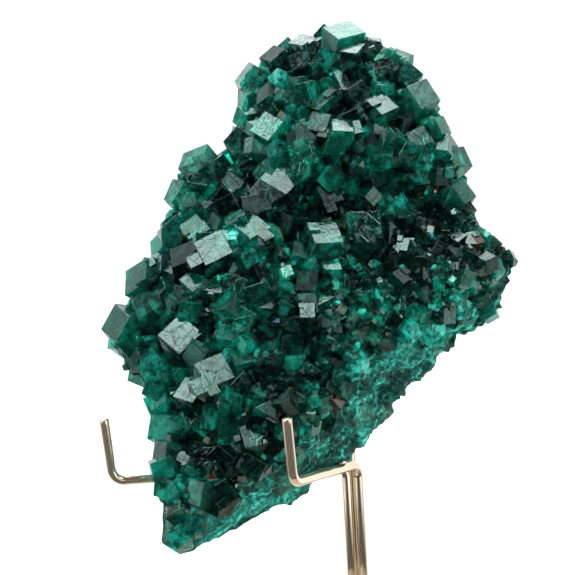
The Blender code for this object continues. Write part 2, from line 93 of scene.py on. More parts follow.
# Specimen: the slab, its outline seen square on, its margins and its depths
RELIEF_SEED = 29
SCATTER_SEED = 31
STRETCH_SEED = 131
SLAB_CENTRE = np.array([-8.1, -6.7, 71.0])
SLAB_LEAN = math.radians(15.0)
SLAB_ROLL = math.radians(3.2)
OUTLINE = np.array([
    (8.0, 52.5), (14.5, 50.0), (20.5, 46.5), (23.5, 41.5), (27.0, 36.0), (29.5, 31.0),
    (31.0, 25.5), (32.0, 18.5), (34.5, 14.5), (37.5, 11.0), (40.5, 7.0), (39.0, 2.0),
    (36.0, -3.0), (31.5, -7.5), (26.0, -11.0), (22.0, -15.5), (17.0, -20.5),
    (13.0, -25.5), (9.5, -29.5), (5.5, -33.0), (-0.5, -37.5), (-6.0, -41.0),
    (-10.5, -43.5), (-16.0, -46.5), (-22.0, -49.5), (-25.5, -47.5), (-26.0, -41.5),
    (-26.0, -35.5), (-26.0, -31.0), (-27.5, -25.5), (-28.0, -20.5), (-29.0, -17.0),
    (-33.0, -12.5), (-35.5, -8.0), (-35.0, -3.5), (-32.0, 0.5), (-31.0, 5.5),
    (-27.0, 9.0), (-25.5, 13.5), (-24.5, 18.5), (-23.5, 23.0), (-18.5, 26.0),
    (-13.0, 27.0), (-12.5, 31.5), (-11.0, 36.5), (-10.0, 42.0), (-7.5, 46.5),
    (-3.0, 50.0), (2.5, 51.5),
])
BROKEN_FROM = math.radians(-114.0)
BROKEN_TO = math.radians(8.0)
BROKEN_FADE = math.radians(14.0)
CRYSTAL_MARGIN = 1.2
BROKEN_MARGIN = -0.7
EDGE_ROUNDING = 4.2
BROKEN_ROUNDING = 1.6
FRONT_INSET = 2.2
WIDEST_HEIGHT = -4.0
BROKEN_HEIGHT = -8.5
BACK_EDGE_HEIGHT = -11.5
EDGE_STEP = 1.4
THINNEST = 0.25
BROKEN_INSET = 9.6
BACK_INSET = 5.0
BACK_DEPTH = 14.0
UPPER_LOBE_THINNER = 4.0
UPPER_LOBE = (30.0, 52.0)
POINT_LEFT_EDGE = -26.0
POINT_DEPTH = 3.0
POINT_DEPTH_GAIN = 0.31
POINT_TOP = (-31.5, -27.0)
# Travel at the face's middle and edge, the widest line, and the back's edge and middle
STATIONS = (0.0, 0.5, 0.66, 0.8, 1.0)
ROUNDING_FROM = 0.55
BACK_SINKS_BY = 0.35
NORMAL_STEP = 0.012
FACE_STEPS = 200
# Relief of the matrix, and the ranges of travel where each kind begins or ends
LUMP_HEIGHT = 0.7
BACK_LUMP_GAIN = 0.5
CHIP_HEIGHT = 0.55
BACK_LUMPS = (0.74, 0.84)
BARE_EDGE = (0.47, 0.53)
BARE_EDGE_END = (0.8, 0.86)
BARE_BACK = (0.68, 0.76)
# Swellings and hollows of the face: across, up, radius, rise
SWELLINGS = [
    (9.0, 31.0, 17.0, 5.5),
    (-1.0, 46.0, 9.0, -1.5),
    (-8.0, -6.0, 19.0, 5.5),
    (12.0, 2.0, 14.0, 2.5),
    (-2.0, -26.0, 9.0, 4.0),
    (20.0, 16.0, 9.0, -6.0),
    (3.0, 14.5, 6.0, -3.5),
    (-18.0, -29.0, 6.5, -4.0),
    (-20.0, 7.0, 8.0, 2.5),
    (-17.0, -41.0, 9.0, 3.5),
]
FACE_HEIGHT = 2.0
ROCK_BEARINGS = (300, 128)
ROCK_RINGS = (52, 112, 58)
ROCK_RING_BOUNDS = (0.0, 0.46, 0.82, 1.0)
WAVE_PEAK = 1.6
RIDGE_POWER = 0.7
WARP = 0.9
WARP_SHIFTS = (0.0, 11.0, 23.0)
MIDDLE_REACH = 38.0
EDGE_LENGTH = 12.0
LEVEL_WARP = 0.3
FIBRE_STRETCH = 0.16

# Crystals: a six-sided prism closed by a steep rhombohedron
RHOMB_SLOPE = math.radians(51.0)
ROOT_TAPER = 0.8
ROOT_DEPTH = 0.45
# The crystals that show best: across, up, width, then in degrees how far an end face
# looks to the right and up, and the bearing of the top corner
MAIN_CRYSTALS = [
    (8.6, 49.4, 7.6, -6, 40, 78), (13.5, 47.0, 4.6, 20, 10, 120),
    (19.0, 46.5, 5.6, 6, 46, 15), (16.5, 43.0, 5.0, -20, 18, 80),
    (16.5, 39.0, 4.0, 0, 50, 40), (22.5, 37.5, 6.6, 25, 5, 75),
    (15.5, 33.5, 5.4, 4, 38, 350), (23.0, 29.0, 5.0, -14, 8, 70),
    (-11.0, 29.0, 5.4, -30, 5, 90), (-5.5, 30.0, 6.2, -15, 10, 100),
    (-8.8, 43.0, 6.2, -50, 25, 110), (-3.5, 18.5, 8.0, 2, 37, 12),
    (1.0, 24.0, 6.6, 0, 10, 150), (5.5, 17.5, 4.8, 10, 5, 65),
    (10.5, 29.5, 3.4, -13, 6, 60), (11.5, 23.0, 3.6, 2, 36, 20),
    (20.0, 15.0, 4.6, 0, 25, 75), (30.0, 19.5, 5.2, 45, 10, 80),
    (-15.5, 5.0, 7.4, -14, 9, 72), (-9.0, 9.0, 6.2, 4, 34, 85),
    (-20.5, 4.0, 6.4, -30, 25, 60), (-25.0, 8.5, 6.0, -50, 0, 160),
    (-29.0, 1.5, 7.2, -40, 15, 150), (-32.5, -7.0, 7.6, -45, 5, 100),
    (-19.5, 10.5, 5.2, -15, 10, 80), (-21.0, 16.5, 4.4, -25, 25, 55),
    (-22.5, 19.5, 5.4, -50, 10, 120), (-16.5, -2.0, 4.4, 0, 40, 45),
    (-22.0, -3.0, 4.2, -20, 25, 100), (-27.5, -4.0, 6.8, -25, 20, 70),
    (-21.5, -10.0, 7.2, -10, 5, 90), (-15.5, -17.5, 7.0, 0, 10, 70),
    (-13.0, -21.5, 5.4, 15, -10, 40), (-20.0, -20.5, 5.4, -15, 20, 110),
    (-25.5, -21.0, 4.6, -40, 15, 60), (-25.0, -26.0, 5.8, -35, -5, 130),
    (-8.5, -29.5, 5.6, 0, 15, 60), (-19.5, -30.5, 3.6, -10, 30, 45),
    (-14.5, -39.5, 5.4, 5, 5, 80), (-19.5, -44.5, 3.8, -10, -10, 120),
    (-23.4, -39.0, 4.0, -35, 5, 80), (-22.0, -46.5, 4.4, -20, -20, 80),
    (25.5, 2.5, 3.6, 10, 30, 50),
    (4.5, 7.5, 7.0, 8, 30, 60), (12.5, 10.0, 7.6, -14, 12, 50),
    (36.5, 5.0, 4.0, 40, 20, 70), (32.5, 1.5, 3.8, 20, 20, 90),
    (-27.0, -14.5, 6.0, -35, 5, 80), (-30.5, -12.0, 5.2, -40, -5, 60),
    (1.0, 48.5, 5.6, -10, 45, 100), (26.0, 32.0, 4.6, 50, 10, 60),
    (29.6, 26.2, 5.4, 42, 12, 60), (-4.5, 46.5, 5.0, -30, 30, 100),
]
MAIN_SWELL = 1.15
MAIN_TRIM = 1.16
MAIN_RISE = 0.72
MAIN_STRETCH = (0.94, 1.08)
FOLLOW_SURFACE = 0.25
SIDE_GUIDE = (0.3, 0.9, 0.2)

# The seeded scatter of large crystals. A pair is the lowest and the highest share
SCATTER_TRIES = 5200
SCATTER_SPACING = 0.72
SCATTER_TRIM = 0.9
SCATTER_WIDTH = (0.76, 1.12)
SCATTER_RISE = (0.36, 0.60)
SCATTER_STRETCH = (0.86, 1.14)
SCATTER_TILT = 0.75
SCATTER_LIMIT = 0.68
BROKEN_LIMIT_DROP = 0.19
RIM_REACH = 1.46
BLOCK_WIDTH = 7.4
FINE_WIDTH = 5.1
FINE_FROM = (-4.0, 12.0)
FINE_SLANT = 0.25
FINE_BELOW = (16.0, 28.0)

# Chamfers and growth steps
CHAMFER = 0.008
LONGEST_CHAMFER = 0.3
LEAST_SINE = 0.3
LARGE_STEPS = (51, 3)
FILLING_STEPS = (52, 1)
TURQUOISE_STEPS = (53, 3)
STEP_WIDTH = (0.26, 0.62)
STEP_ASIDE = (0.1, 0.9)
STEP_STANDS = (0.05, 0.30)
LEAST_STEP_RISE = 0.25
STEP_TINT_SPREAD = 0.1
STEPS_KEPT = 0.8

# Crystals that fill the room between the large ones
FILLING_SEED = 41
FILLING_TRIES = 9000
FILLING_WIDTH = (2.2, 5.2)
FILLING_RISE = (0.34, 0.74)
FILLING_STRETCH = (0.82, 1.2)
FILLING_TILT = 1.0
FILLING_SPACING = 0.66
FILLING_LIMIT = 0.70
HOST_SHARE = 0.62
COARSE_GAIN = 0.45

# Fine crystals, on the face, the rim and the back
FINE_SEED = 43
FINE_COUNT = 8600
FINE_CRYSTAL_WIDTH = (0.8, 2.5)
FINE_WIDTH_POWER = 1.6
FINE_RISE = (0.3, 0.9)
FINE_STRETCH = (0.8, 1.2)
FINE_TILT = 1.1
FINE_LIMIT = 0.74
FINE_REACH = 1.5
COARSE_FINE_SHARE = 0.4
BACK_COUNT = 240
BACK_TRAVEL = (0.72, 0.97)

# How far crystals grow over the broken strip, and how near the wires
FRONT_EDGE = 0.5
STRIP_COVER = 0.035
CORNER_COVER = 0.09
CORNER_FROM = (math.radians(-32.0), math.radians(-6.0))
LEAST_RAGGED = 0.3
RAGGED_POWER = 3.0
WIRE_CLEARANCE = 0.35

# Which crystals take specks or turquoise, and how the painted rim light falls on the crystals at
# the outline
SPECK_WIDTH = 4.4
PALE_FROM = 0.25
# Fine crystals above this tint take the pale turquoise as painted glints
PALE_GLINT_TINT = 0.91
PALE_WIDTH = 5.4
RIM_SHARE = (0.80, 0.97)
RIGHT_RIM = 0.45
LEFT_RIM = (-0.1, 0.5)
PLACE_FADE = (0.45, 1.1)
# Height of the shoulder corners on the gradient of painted root shade and painted glow
SHOULDER_TIP = 0.8

# Places on the face with paler turquoise growth: across, up, radius. The place at the left edge, at
# -23.5, 18.5, stands in for painted glow there
TURQUOISE_PLACES = [
    (17.0, 16.5, 3.0), (15.5, 39.5, 2.8), (38.5, 4.0, 3.2), (-23.5, 18.5, 4.2),
    (-8.0, 5.0, 2.4), (-16.5, 0.5, 2.0), (-11.5, 22.5, 1.6), (-1.0, 50.5, 2.4),
    (0.5, -2.5, 1.8), (26.5, -7.0, 2.4), (-22.5, -46.5, 3.0), (10.5, -13.5, 2.2),
    (-17.0, -43.5, 3.6), (-12.0, 8.5, 4.5), (3.5, 4.0, 2.4), (30.0, -1.5, 2.4),
    (21.0, -8.5, 3.0), (-20.5, -36.0, 3.0), (8.0, -17.0, 2.0), (-5.0, 25.5, 2.6),
    (24.0, 24.0, 2.6), (-13.5, -12.0, 3.0), (-2.0, 40.0, 3.0), (-28.5, -9.0, 2.6),
    (-26.0, 10.8, 2.8), (-9.0, 44.5, 2.6), (-10.5, 38.0, 2.4), (29.5, 22.0, 2.4),
    (-34.0, -8.5, 2.4), (-27.5, -16.0, 2.6), (6.0, 44.0, 2.4), (-6.0, -14.0, 2.0),
    (3.0, 24.5, 1.8), (14.0, -2.0, 2.0), (2.0, -19.0, 1.8), (22.5, 33.5, 2.0),
]
# Rust-brown specks on the face: across, up, radius
RUST_PLACES = [
    (34.0, 10.0, 1.6), (7.0, -22.5, 1.5), (5.0, -26.5, 1.4), (19.5, 30.5, 1.2),
    (-22.5, -12.5, 0.9), (15.5, 25.5, 1.0), (2.5, 31.0, 1.0), (-15.5, -36.5, 1.2),
    (27.0, 21.0, 1.3),
]
# Violet-blue and gold specks on the face: across, up, radius
VIOLET_PLACES = [(15.7, 40.0, 1.1), (-4.8, -7.5, 1.3), (-24.9, 5.1, 0.9)]
GOLD_PLACES = [(0.3, 6.5, 1.3)]
# Hollows of the face where painted shade darkens the crystals: across, up, radius
SHADED_HOLLOWS = [
    (19.0, 6.5, 11.0), (25.5, 13.0, 8.0), (-18.5, -32.0, 7.0), (-21.5, 23.0, 4.5),
    (0.5, -9.5, 7.0), (-8.0, 13.0, 4.0), (8.5, 14.0, 6.0), (-4.0, -20.0, 5.0),
    (11.0, 37.0, 4.0), (-12.0, -34.0, 5.0), (31.0, 8.0, 6.0),
]


# The slab frame and the matrix's surface


def smooth_step(low, high, value):
    """0 below low, 1 above high, and an even S between them."""
    t = np.clip((value - low) / (high - low), 0.0, 1.0)
    return t * t * (3.0 - 2.0 * t)


def blend(start, end, share):
    """The start at a share of 0, the end at a share of 1, and evenly between them."""
    return start + (end - start) * share


def unit(vectors):
    """Each vector divided by its length."""
    return vectors / np.linalg.norm(vectors, axis=-1, keepdims=True)


def directions_at(angles):
    """The unit vector in the plane at each angle."""
    return np.stack([np.cos(angles), np.sin(angles)], axis=-1)


def slab_axes():
    """The slab's right, up and outward directions in the scene."""
    lean_c, lean_s = math.cos(SLAB_LEAN), math.sin(SLAB_LEAN)
    roll_c, roll_s = math.cos(SLAB_ROLL), math.sin(SLAB_ROLL)
    lean = np.array([(1, 0, 0), (0, lean_c, lean_s), (0, -lean_s, lean_c)])
    roll = np.array([(roll_c, 0, roll_s), (0, 1, 0), (-roll_s, 0, roll_c)])
    turn = lean @ roll
    return np.array([turn @ (1, 0, 0), turn @ (0, 0, 1), turn @ (0, -1, 0)])


SLAB_AXES = slab_axes()


def slab_to_scene(points):
    """Points in the slab frame, as points of the scene in millimetres."""
    return SLAB_CENTRE + points @ SLAB_AXES


def make_waves(seed, count, shortest, longest):
    """Seeded plane waves whose sum gives an even, unrepeating roughness."""
    chance = np.random.default_rng(seed)
    directions = unit(chance.normal(size=(count, 3)))
    lengths = chance.uniform(shortest, longest, count)
    phases = chance.uniform(0.0, FULL_TURN, count)
    return directions * (FULL_TURN / lengths)[:, None], phases


LUMPS = make_waves(RELIEF_SEED, 10, 7.0, 17.0)
CHIPS = make_waves(RELIEF_SEED + 1, 14, 2.6, 6.0)
GRAINS = make_waves(RELIEF_SEED + 2, 24, 0.9, 2.4)
FIBRES = make_waves(RELIEF_SEED + 3, 30, 0.8, 3.0)


def roughness(points, waves):
    """The waves' sum at each point, between about -1 and 1."""
    vectors, phases = waves
    total = np.sin(points @ vectors.T + phases).sum(axis=1)
    return total * math.sqrt(2.0 / len(phases)) / WAVE_PEAK


def ridges(points, waves):
    """Sharp crests where the waves' sum passes nought, and rounded hollows between."""
    return 1.0 - 2.0 * np.abs(roughness(points, waves)) ** RIDGE_POWER


OUTLINE_BEARINGS = np.arctan2(OUTLINE[:, 1], OUTLINE[:, 0])
OUTLINE_ORDER = np.argsort(OUTLINE_BEARINGS)
OUTLINE_REACH = np.hypot(OUTLINE[:, 0], OUTLINE[:, 1])


def outline_reach(bearing):
    """How far the outline is from the slab's centre along each bearing."""
    return np.interp(
        bearing,
        OUTLINE_BEARINGS[OUTLINE_ORDER],
        OUTLINE_REACH[OUTLINE_ORDER],
        period=FULL_TURN,
    )


def brokenness(bearing):
    """1 where the bare broken edge shows, 0 where crystals go round the edge."""
    return smooth_step(BROKEN_FROM - BROKEN_FADE, BROKEN_FROM, bearing) * (
        1.0 - smooth_step(BROKEN_TO, BROKEN_TO + BROKEN_FADE, bearing)
    )


def face_height(across, up):
    """The matrix's height under the crystals: a flat with swellings and hollows."""
    height = np.full(np.shape(across), FACE_HEIGHT)
    for centre_across, centre_up, radius, rise in SWELLINGS:
        squared = (across - centre_across) ** 2 + (up - centre_up) ** 2
        height = height + rise * np.exp(-squared / (radius * radius))
    return height


def back_depth(across, up):
    """How far the back lies behind the slab's middle. The lower point is thinner: its
    depth grows evenly from its left edge, and is never more than the rest's."""
    point_depth = POINT_DEPTH + POINT_DEPTH_GAIN * np.maximum(across - POINT_LEFT_EDGE, 0.0)
    in_point = 1.0 - smooth_step(*POINT_TOP, up)
    full = BACK_DEPTH - UPPER_LOBE_THINNER * smooth_step(*UPPER_LOBE, up)
    return blend(full, np.minimum(point_depth, full), in_point)


def body_points(bearing, travel):
    """The matrix's surface. Reach and height run straight from station to station, the
    face carries its swellings and rounds off to its edge, and the back sinks to its
    depth."""
    reach = outline_reach(bearing)
    broken = brokenness(bearing)
    front = blend(reach - CRYSTAL_MARGIN - FRONT_INSET, reach - BROKEN_INSET, broken)
    widest = reach - blend(CRYSTAL_MARGIN, BROKEN_MARGIN, broken)
    back = reach - BACK_INSET
    spans = [np.clip((travel - a) / (b - a), 0.0, 1.0) for a, b in zip(STATIONS, STATIONS[1:])]
    radius = (
        spans[0] * front
        + spans[1] * (widest - front)
        + spans[2] * (back - widest)
        - spans[3] * back
    )
    across = radius * np.cos(bearing)
    up = radius * np.sin(bearing)
    low = -back_depth(across, up)
    back_high = -back_depth(back * np.cos(bearing), back * np.sin(bearing)) + EDGE_STEP
    back_high = np.maximum(BACK_EDGE_HEIGHT, back_high)
    widest_high = blend(WIDEST_HEIGHT, BROKEN_HEIGHT, broken)
    widest_high = np.maximum(widest_high, back_high + EDGE_STEP)
    front_face = face_height(front * np.cos(bearing), front * np.sin(bearing))
    rounding = blend(EDGE_ROUNDING, BROKEN_ROUNDING, broken)
    rounding = np.minimum(rounding, front_face - widest_high - EDGE_STEP)
    edge_high = front_face - rounding
    heights = [
        face_height(across, up) - smooth_step(ROUNDING_FROM, 1.0, spans[0]) * rounding,
        blend(edge_high, widest_high, spans[1]),
        blend(widest_high, back_high, spans[2]),
        blend(back_high, low, smooth_step(0.0, BACK_SINKS_BY, spans[3])),
    ]
    height = np.select([travel <= station for station in STATIONS[1:]], heights, heights[-1])
    return np.stack([across, up, height], axis=-1)


def body_normals(bearing, travel):
    """The outward direction of the matrix, from small steps along both parameters."""
    along = body_points(bearing, travel + NORMAL_STEP) - body_points(bearing, travel - NORMAL_STEP)
    around = body_points(bearing + NORMAL_STEP, travel) - body_points(bearing - NORMAL_STEP, travel)
    return unit(np.cross(along, around))


def body_spot(bearing, travel):
    """One point of the matrix and its outward direction."""
    point = body_points(np.array([bearing]), np.array([travel]))[0]
    return point, body_normals(np.array([bearing]), np.array([travel]))[0]


def thinness(points):
    """How much of the relief a place can carry: less where the slab is thin."""
    return np.clip(back_depth(points[:, 0], points[:, 1]) / BACK_DEPTH, THINNEST, 1.0)


def main_relief(points, travel):
    """The lumps and chips of the matrix."""
    lump_height = LUMP_HEIGHT + BACK_LUMP_GAIN * smooth_step(*BACK_LUMPS, travel)
    shift = lump_height * roughness(points, LUMPS) + CHIP_HEIGHT * roughness(points, CHIPS)
    return shift * thinness(points)


def bareness(bearing, travel):
    """1 where no crystals cover the matrix: the broken edge and the back."""
    on_edge = brokenness(bearing) * smooth_step(*BARE_EDGE, travel)
    return np.maximum(on_edge, smooth_step(*BARE_BACK, travel))


# Meshes and their attributes


def new_piece(name, points, faces, material, values=None, smooth=False):
    """A mesh piece from points in scene millimetres, riding on the stand's one body, with
    a named number on each point where values are given."""
    mesh = bpy.data.meshes.new(name)
    mesh.from_pydata((points * MM).tolist(), [], faces)
    for key, numbers in (values or {}).items():
        mesh.attributes.new(key, "FLOAT", "POINT").data.foreach_set(
            "value", np.asarray(numbers, dtype=np.float32)
        )
    mesh.polygons.foreach_set("use_smooth", np.full(len(mesh.polygons), smooth))
    mesh.materials.append(material)
    mesh.update()
    piece = bpy.data.objects.new(name, mesh)
    bpy.context.scene.collection.objects.link(piece)
    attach(piece, "root")
    return piece


def grid_faces(rows, columns, first=0):
    """Faces of a grid of rings, closed round each ring."""
    row, column = np.meshgrid(np.arange(rows - 1), np.arange(columns), indexing="ij")
    after = (column + 1) % columns
    a = first + row * columns
    b = a + columns
    return np.stack([a + column, b + column, b + after, a + after], -1).reshape(-1, 4).tolist()


def cap_faces(tip, start, columns, outward):
    """Triangles from one end point to the ring that starts at the given number."""
    ring = start + np.arange(columns)
    after = start + (np.arange(columns) + 1) % columns
    pair = (ring, after) if outward else (after, ring)
    return np.stack([np.full(columns, tip), *pair], -1).tolist()


# The matrix


def rock_bearings():
    """Close bearings along the broken edge, and wider ones round the rest."""
    start, end = BROKEN_FROM - BROKEN_FADE, BROKEN_TO + BROKEN_FADE
    close, wide = ROCK_BEARINGS
    return np.concatenate([
        np.linspace(start, end, close, endpoint=False),
        np.linspace(end, start + FULL_TURN, wide, endpoint=False),
    ])


def rock_travels():
    """Wide rings under the crystals, close ones over the edge, and wider at the back."""
    runs = zip(ROCK_RINGS, ROCK_RING_BOUNDS, ROCK_RING_BOUNDS[1:])
    return np.concatenate([np.linspace(low, high, count + 1)[1:] for count, low, high in runs])[:-1]


def rock_surface():
    """The matrix as a fine grid of bearing and travel: its own form, lumps and chips, then
    fibres that run along the broken edge, and grain that is coarser where it is bare. Each
    layer of the fine relief is its height in millimetres times its form."""
    travel, bearing = np.meshgrid(rock_travels(), rock_bearings(), indexing="ij")
    bearing = bearing.ravel()
    travel = travel.ravel()
    points = body_points(bearing, travel)
    bare = bareness(bearing, travel)
    on_edge = brokenness(bearing) * smooth_step(*BARE_EDGE, travel)
    on_edge = on_edge * (1.0 - smooth_step(*BARE_EDGE_END, travel))
    warped = points + WARP * np.stack([
        roughness(points + shift, CHIPS) for shift in WARP_SHIFTS
    ], axis=-1)
    along = MIDDLE_REACH * bearing
    level = points[:, 2] + LEVEL_WARP * (warped - points)[:, 2] - EDGE_LENGTH * travel
    stretched = np.stack([FIBRE_STRETCH * along, level, LEVEL_WARP * warped[:, 0]], axis=-1)
    layers = [
        (0.10 + 0.12 * bare) * roughness(1.3 * warped, GRAINS),
        0.16 * on_edge * roughness(stretched, FIBRES),
        0.34 * on_edge * roughness(0.55 * warped, GRAINS),
        0.40 * on_edge * ridges(0.9 * points + 5.0, CHIPS),
        0.22 * bare * (1.0 - on_edge) * ridges(0.5 * warped, GRAINS),
    ]
    shift = main_relief(points, travel) + sum(layers) * thinness(points)
    points = points + body_normals(bearing, travel) * shift[:, None]
    ends = body_points(np.zeros(2), np.array([0.0, 1.0]))
    values = {"bare": bare, "edge": on_edge, "along": along, "level": level}
    at_ends = {"bare": (0.0, 1.0)}
    for key, numbers in values.items():
        values[key] = np.concatenate([numbers, at_ends.get(key, (0.0, 0.0))])
    return np.concatenate([points, ends]), values


def make_matrix(material):
    """The matrix's grid as a closed mesh, with a point at the middle of the face and one at
    the middle of the back."""
    points, values = rock_surface()
    columns = sum(ROCK_BEARINGS)
    rings = sum(ROCK_RINGS) - 1
    count = rings * columns
    faces = grid_faces(rings, columns)
    faces += cap_faces(count, 0, columns, True)
    faces += cap_faces(count + 1, count - columns, columns, False)
    return new_piece(
        "matrix_rock", slab_to_scene(points), faces, material, values, smooth=True
    )


# Crystals


def face_up_axes(normal, right, up, bearing):
    """Axes of a crystal, one of whose end faces looks to the right and up of the
    viewer's direction by the given degrees, with its top corner at the bearing."""
    look = np.array([
        math.sin(math.radians(right)) * math.cos(math.radians(up)),
        math.sin(math.radians(up)),
        math.cos(math.radians(right)) * math.cos(math.radians(up)),
    ])
    look = unit(look + FOLLOW_SURFACE * normal)
    corner = np.append(directions_at(math.radians(bearing)), 0.0)
    corner = unit(corner - look * corner.dot(look))
    axis = math.cos(RHOMB_SLOPE) * look + math.sin(RHOMB_SLOPE) * corner
    low = unit(look - axis * look.dot(axis))
    return np.array([low, np.cross(axis, low), axis])


def leaning_axes(normals, tilt, heading, spin):
    """Axes of crystals, a row for each: the crystal's own axis leans from the surface's
    outward direction by the tilt towards the heading, and the others turn by the spin."""
    side = unit(np.cross(normals, SIDE_GUIDE))
    other = np.cross(normals, side)
    lean = np.cos(heading)[:, None] * side + np.sin(heading)[:, None] * other
    axis = np.cos(tilt)[:, None] * normals + np.sin(tilt)[:, None] * lean
    first = unit(np.cross(axis, other))
    second = np.cross(axis, first)
    turned = np.cos(spin)[:, None] * first + np.sin(spin)[:, None] * second
    crossed = -np.sin(spin)[:, None] * first + np.cos(spin)[:, None] * second
    return np.stack([turned, crossed, axis], axis=1)


def chance_axes(normals, chance, most):
    """Axes that lean by up to the given angle and are turned, all by chance."""
    count = len(normals)
    tilt = most * np.sqrt(chance.uniform(0.0, 1.0, count))
    heading = chance.uniform(0.0, FULL_TURN, count)
    spin = chance.uniform(0.0, FULL_TURN, count)
    return leaning_axes(normals, tilt, heading, spin)


def face_travel(across, up):
    """The bearing and travel of the body's point that lies at this place in the face."""
    bearing = math.atan2(up, across)
    steps = np.linspace(0.0, STATIONS[2], FACE_STEPS)
    points = body_points(np.full(FACE_STEPS, bearing), steps)
    reach = np.hypot(points[:, 0], points[:, 1])
    nearest = int(np.argmin(np.abs(reach - math.hypot(across, up))))
    return bearing, float(steps[nearest])


def fineness(across, up):
    """0 at the top and left, where the crystals are blocks, and 1 at the centre right."""
    fine = smooth_step(*FINE_FROM, across - FINE_SLANT * up)
    return fine * (1.0 - smooth_step(*FINE_BELOW, up))


def growth_limit(bearing, most, chance):
    """How far over the rim crystals grow: less along the broken edge, where they thin out
    raggedly, but almost to its outer line at the right-hand corner."""
    broken = brokenness(bearing)
    cover = STRIP_COVER + CORNER_COVER * smooth_step(*CORNER_FROM, bearing)
    ragged = LEAST_RAGGED + chance.uniform(0.0, 1.0, len(bearing)) ** RAGGED_POWER
    return blend(most, FRONT_EDGE + cover * ragged, broken)


def chance_travel(chance, count, reach):
    """Travels spread evenly over the face, and on over its edge as far as the reach."""
    return 0.5 * np.sqrt(chance.uniform(0.0, 1.0, count)) * chance.uniform(1.0, reach, count)


def crystal_width_at(point, chance):
    """Big blocks at the top and left, finer crystals at the centre right."""
    width = blend(BLOCK_WIDTH, FINE_WIDTH, fineness(point[0], point[1]))
    return width * chance.uniform(*SCATTER_WIDTH)


def place_large_crystals():
    """The large crystals as (centre, axes, width, rise): the chosen ones, then a seeded
    scatter that fills the room left between them on the face and round the rim."""
    placed = []
    for across, up, width, right, lift, bearing in MAIN_CRYSTALS:
        around, travel = face_travel(across, up)
        centre, normal = body_spot(around, travel)
        axes = face_up_axes(normal, right, lift, bearing)
        placed.append((centre, axes, MAIN_SWELL * width, MAIN_RISE * width))
    centres = np.zeros((len(placed) + SCATTER_TRIES, 3))
    widths = np.zeros(len(centres))
    centres[: len(placed)] = [row[0] for row in placed]
    widths[: len(placed)] = [row[2] for row in placed]
    chance = np.random.default_rng(SCATTER_SEED)
    for _ in range(SCATTER_TRIES):
        around = chance.uniform(-math.pi, math.pi)
        travel = chance_travel(chance, 1, RIM_REACH)[0]
        turns = [chance.uniform(0.0, most, 1) for most in (SCATTER_TILT, FULL_TURN, FULL_TURN)]
        if travel > SCATTER_LIMIT - BROKEN_LIMIT_DROP * float(brokenness(around)):
            continue
        centre, normal = body_spot(around, travel)
        width = crystal_width_at(centre, chance)
        rise = width * chance.uniform(*SCATTER_RISE)
        gaps = np.linalg.norm(centres[: len(placed)] - centre, axis=1)
        if (gaps < SCATTER_SPACING * 0.5 * (widths[: len(placed)] + width)).any():
            continue
        centres[len(placed)] = centre
        widths[len(placed)] = width
        placed.append((centre, leaning_axes(normal[None], *turns)[0], width, rise))
    return placed


class Crystals:
    """Many crystals at once: centres, axes, widths, rises, side stretches and tints, each
    an array with a row for every crystal."""

    SHAPES = ((-1, 3), (-1, 3, 3), (-1,), (-1,), (-1, 2), (-1,))

    def __init__(self, *columns):
        """Each column as an array of numbers in the shape listed for it."""
        self.columns = [
            np.asarray(column, dtype=float).reshape(shape)
            for column, shape in zip(columns, self.SHAPES)
        ]
        self.centres, self.axes, self.widths, self.rises, self.stretch, self.tint = self.columns

    def __len__(self):
        """How many crystals there are."""
        return len(self.widths)

    def pick(self, keep):
        """The crystals that a mask or a list of row numbers keeps."""
        return Crystals(*[column[keep] for column in self.columns])

    def joined(self, other):
        """These crystals, followed by the others."""
        return Crystals(*[np.concatenate(pair) for pair in zip(self.columns, other.columns)])

    def corners(self):
        """The corners in the slab frame, thirteen to a crystal: the apex, six upper
        corners that lie by turns on a ridge and at a low corner of the rhombohedron,
        and six corners of the narrower root."""
        ring = directions_at(np.radians(60.0 * np.arange(6) - 60.0))
        lower = np.where(np.arange(6) % 2 == 1, 1.0, 0.5) * math.tan(RHOMB_SLOPE)
        radius = 0.5 * self.widths
        local = np.zeros((len(self), 13, 3))
        local[:, 0, 2] = self.rises
        local[:, 1:7, :2] = radius[:, None, None] * ring
        local[:, 1:7, 2] = self.rises[:, None] - radius[:, None] * lower
        local[:, 7:, :2] = ROOT_TAPER * radius[:, None, None] * ring
        local[:, 7:, 2] = -ROOT_DEPTH * self.widths[:, None]
        local[:, :, :2] *= self.stretch[:, None, :]
        return self.centres[:, None, :] + local @ self.axes


CRYSTAL_FACES = (
    [(0, 1, 2, 3), (0, 3, 4, 5), (0, 5, 6, 1)]
    + [(1 + k, 7 + k, 7 + (k + 1) % 6, 1 + (k + 1) % 6) for k in range(6)]
    + [(12, 11, 10, 9, 8, 7)]
)


def chamfer_table(faces):
    """For a closed solid's faces: the corner, the one before and the one after for every
    corner of every face, and the faces of the chamfered solid. Those are each face drawn
    in, a strip along each edge, and a small face at each corner."""
    number = {}
    rows = []
    for index, face in enumerate(faces):
        for place, corner in enumerate(face):
            number[index, corner] = len(rows)
            rows.append((corner, face[place - 1], face[(place + 1) % len(face)]))
    drawn_in = [tuple(number[index, corner] for corner in face) for index, face in enumerate(faces)]
    side_of = {}
    for index, face in enumerate(faces):
        for place, corner in enumerate(face):
            side_of[corner, face[(place + 1) % len(face)]] = index
    strips = []
    turn = {}
    for (start, end), left in side_of.items():
        right = side_of[end, start]
        turn[start, right] = left
        if start < end:
            strips.append((
                number[left, end], number[left, start], number[right, start], number[right, end]
            ))
    tips = []
    for corner in sorted({row[0] for row in rows}):
        first = next(index for index, face in enumerate(faces) if corner in face)
        tip = [first]
        while turn[corner, tip[-1]] != first:
            tip.append(turn[corner, tip[-1]])
        tips.append(tuple(number[index, corner] for index in tip))
    return np.array(rows), drawn_in + strips + tips


CHAMFER_ROWS, CHAMFER_FACES = chamfer_table(CRYSTAL_FACES)


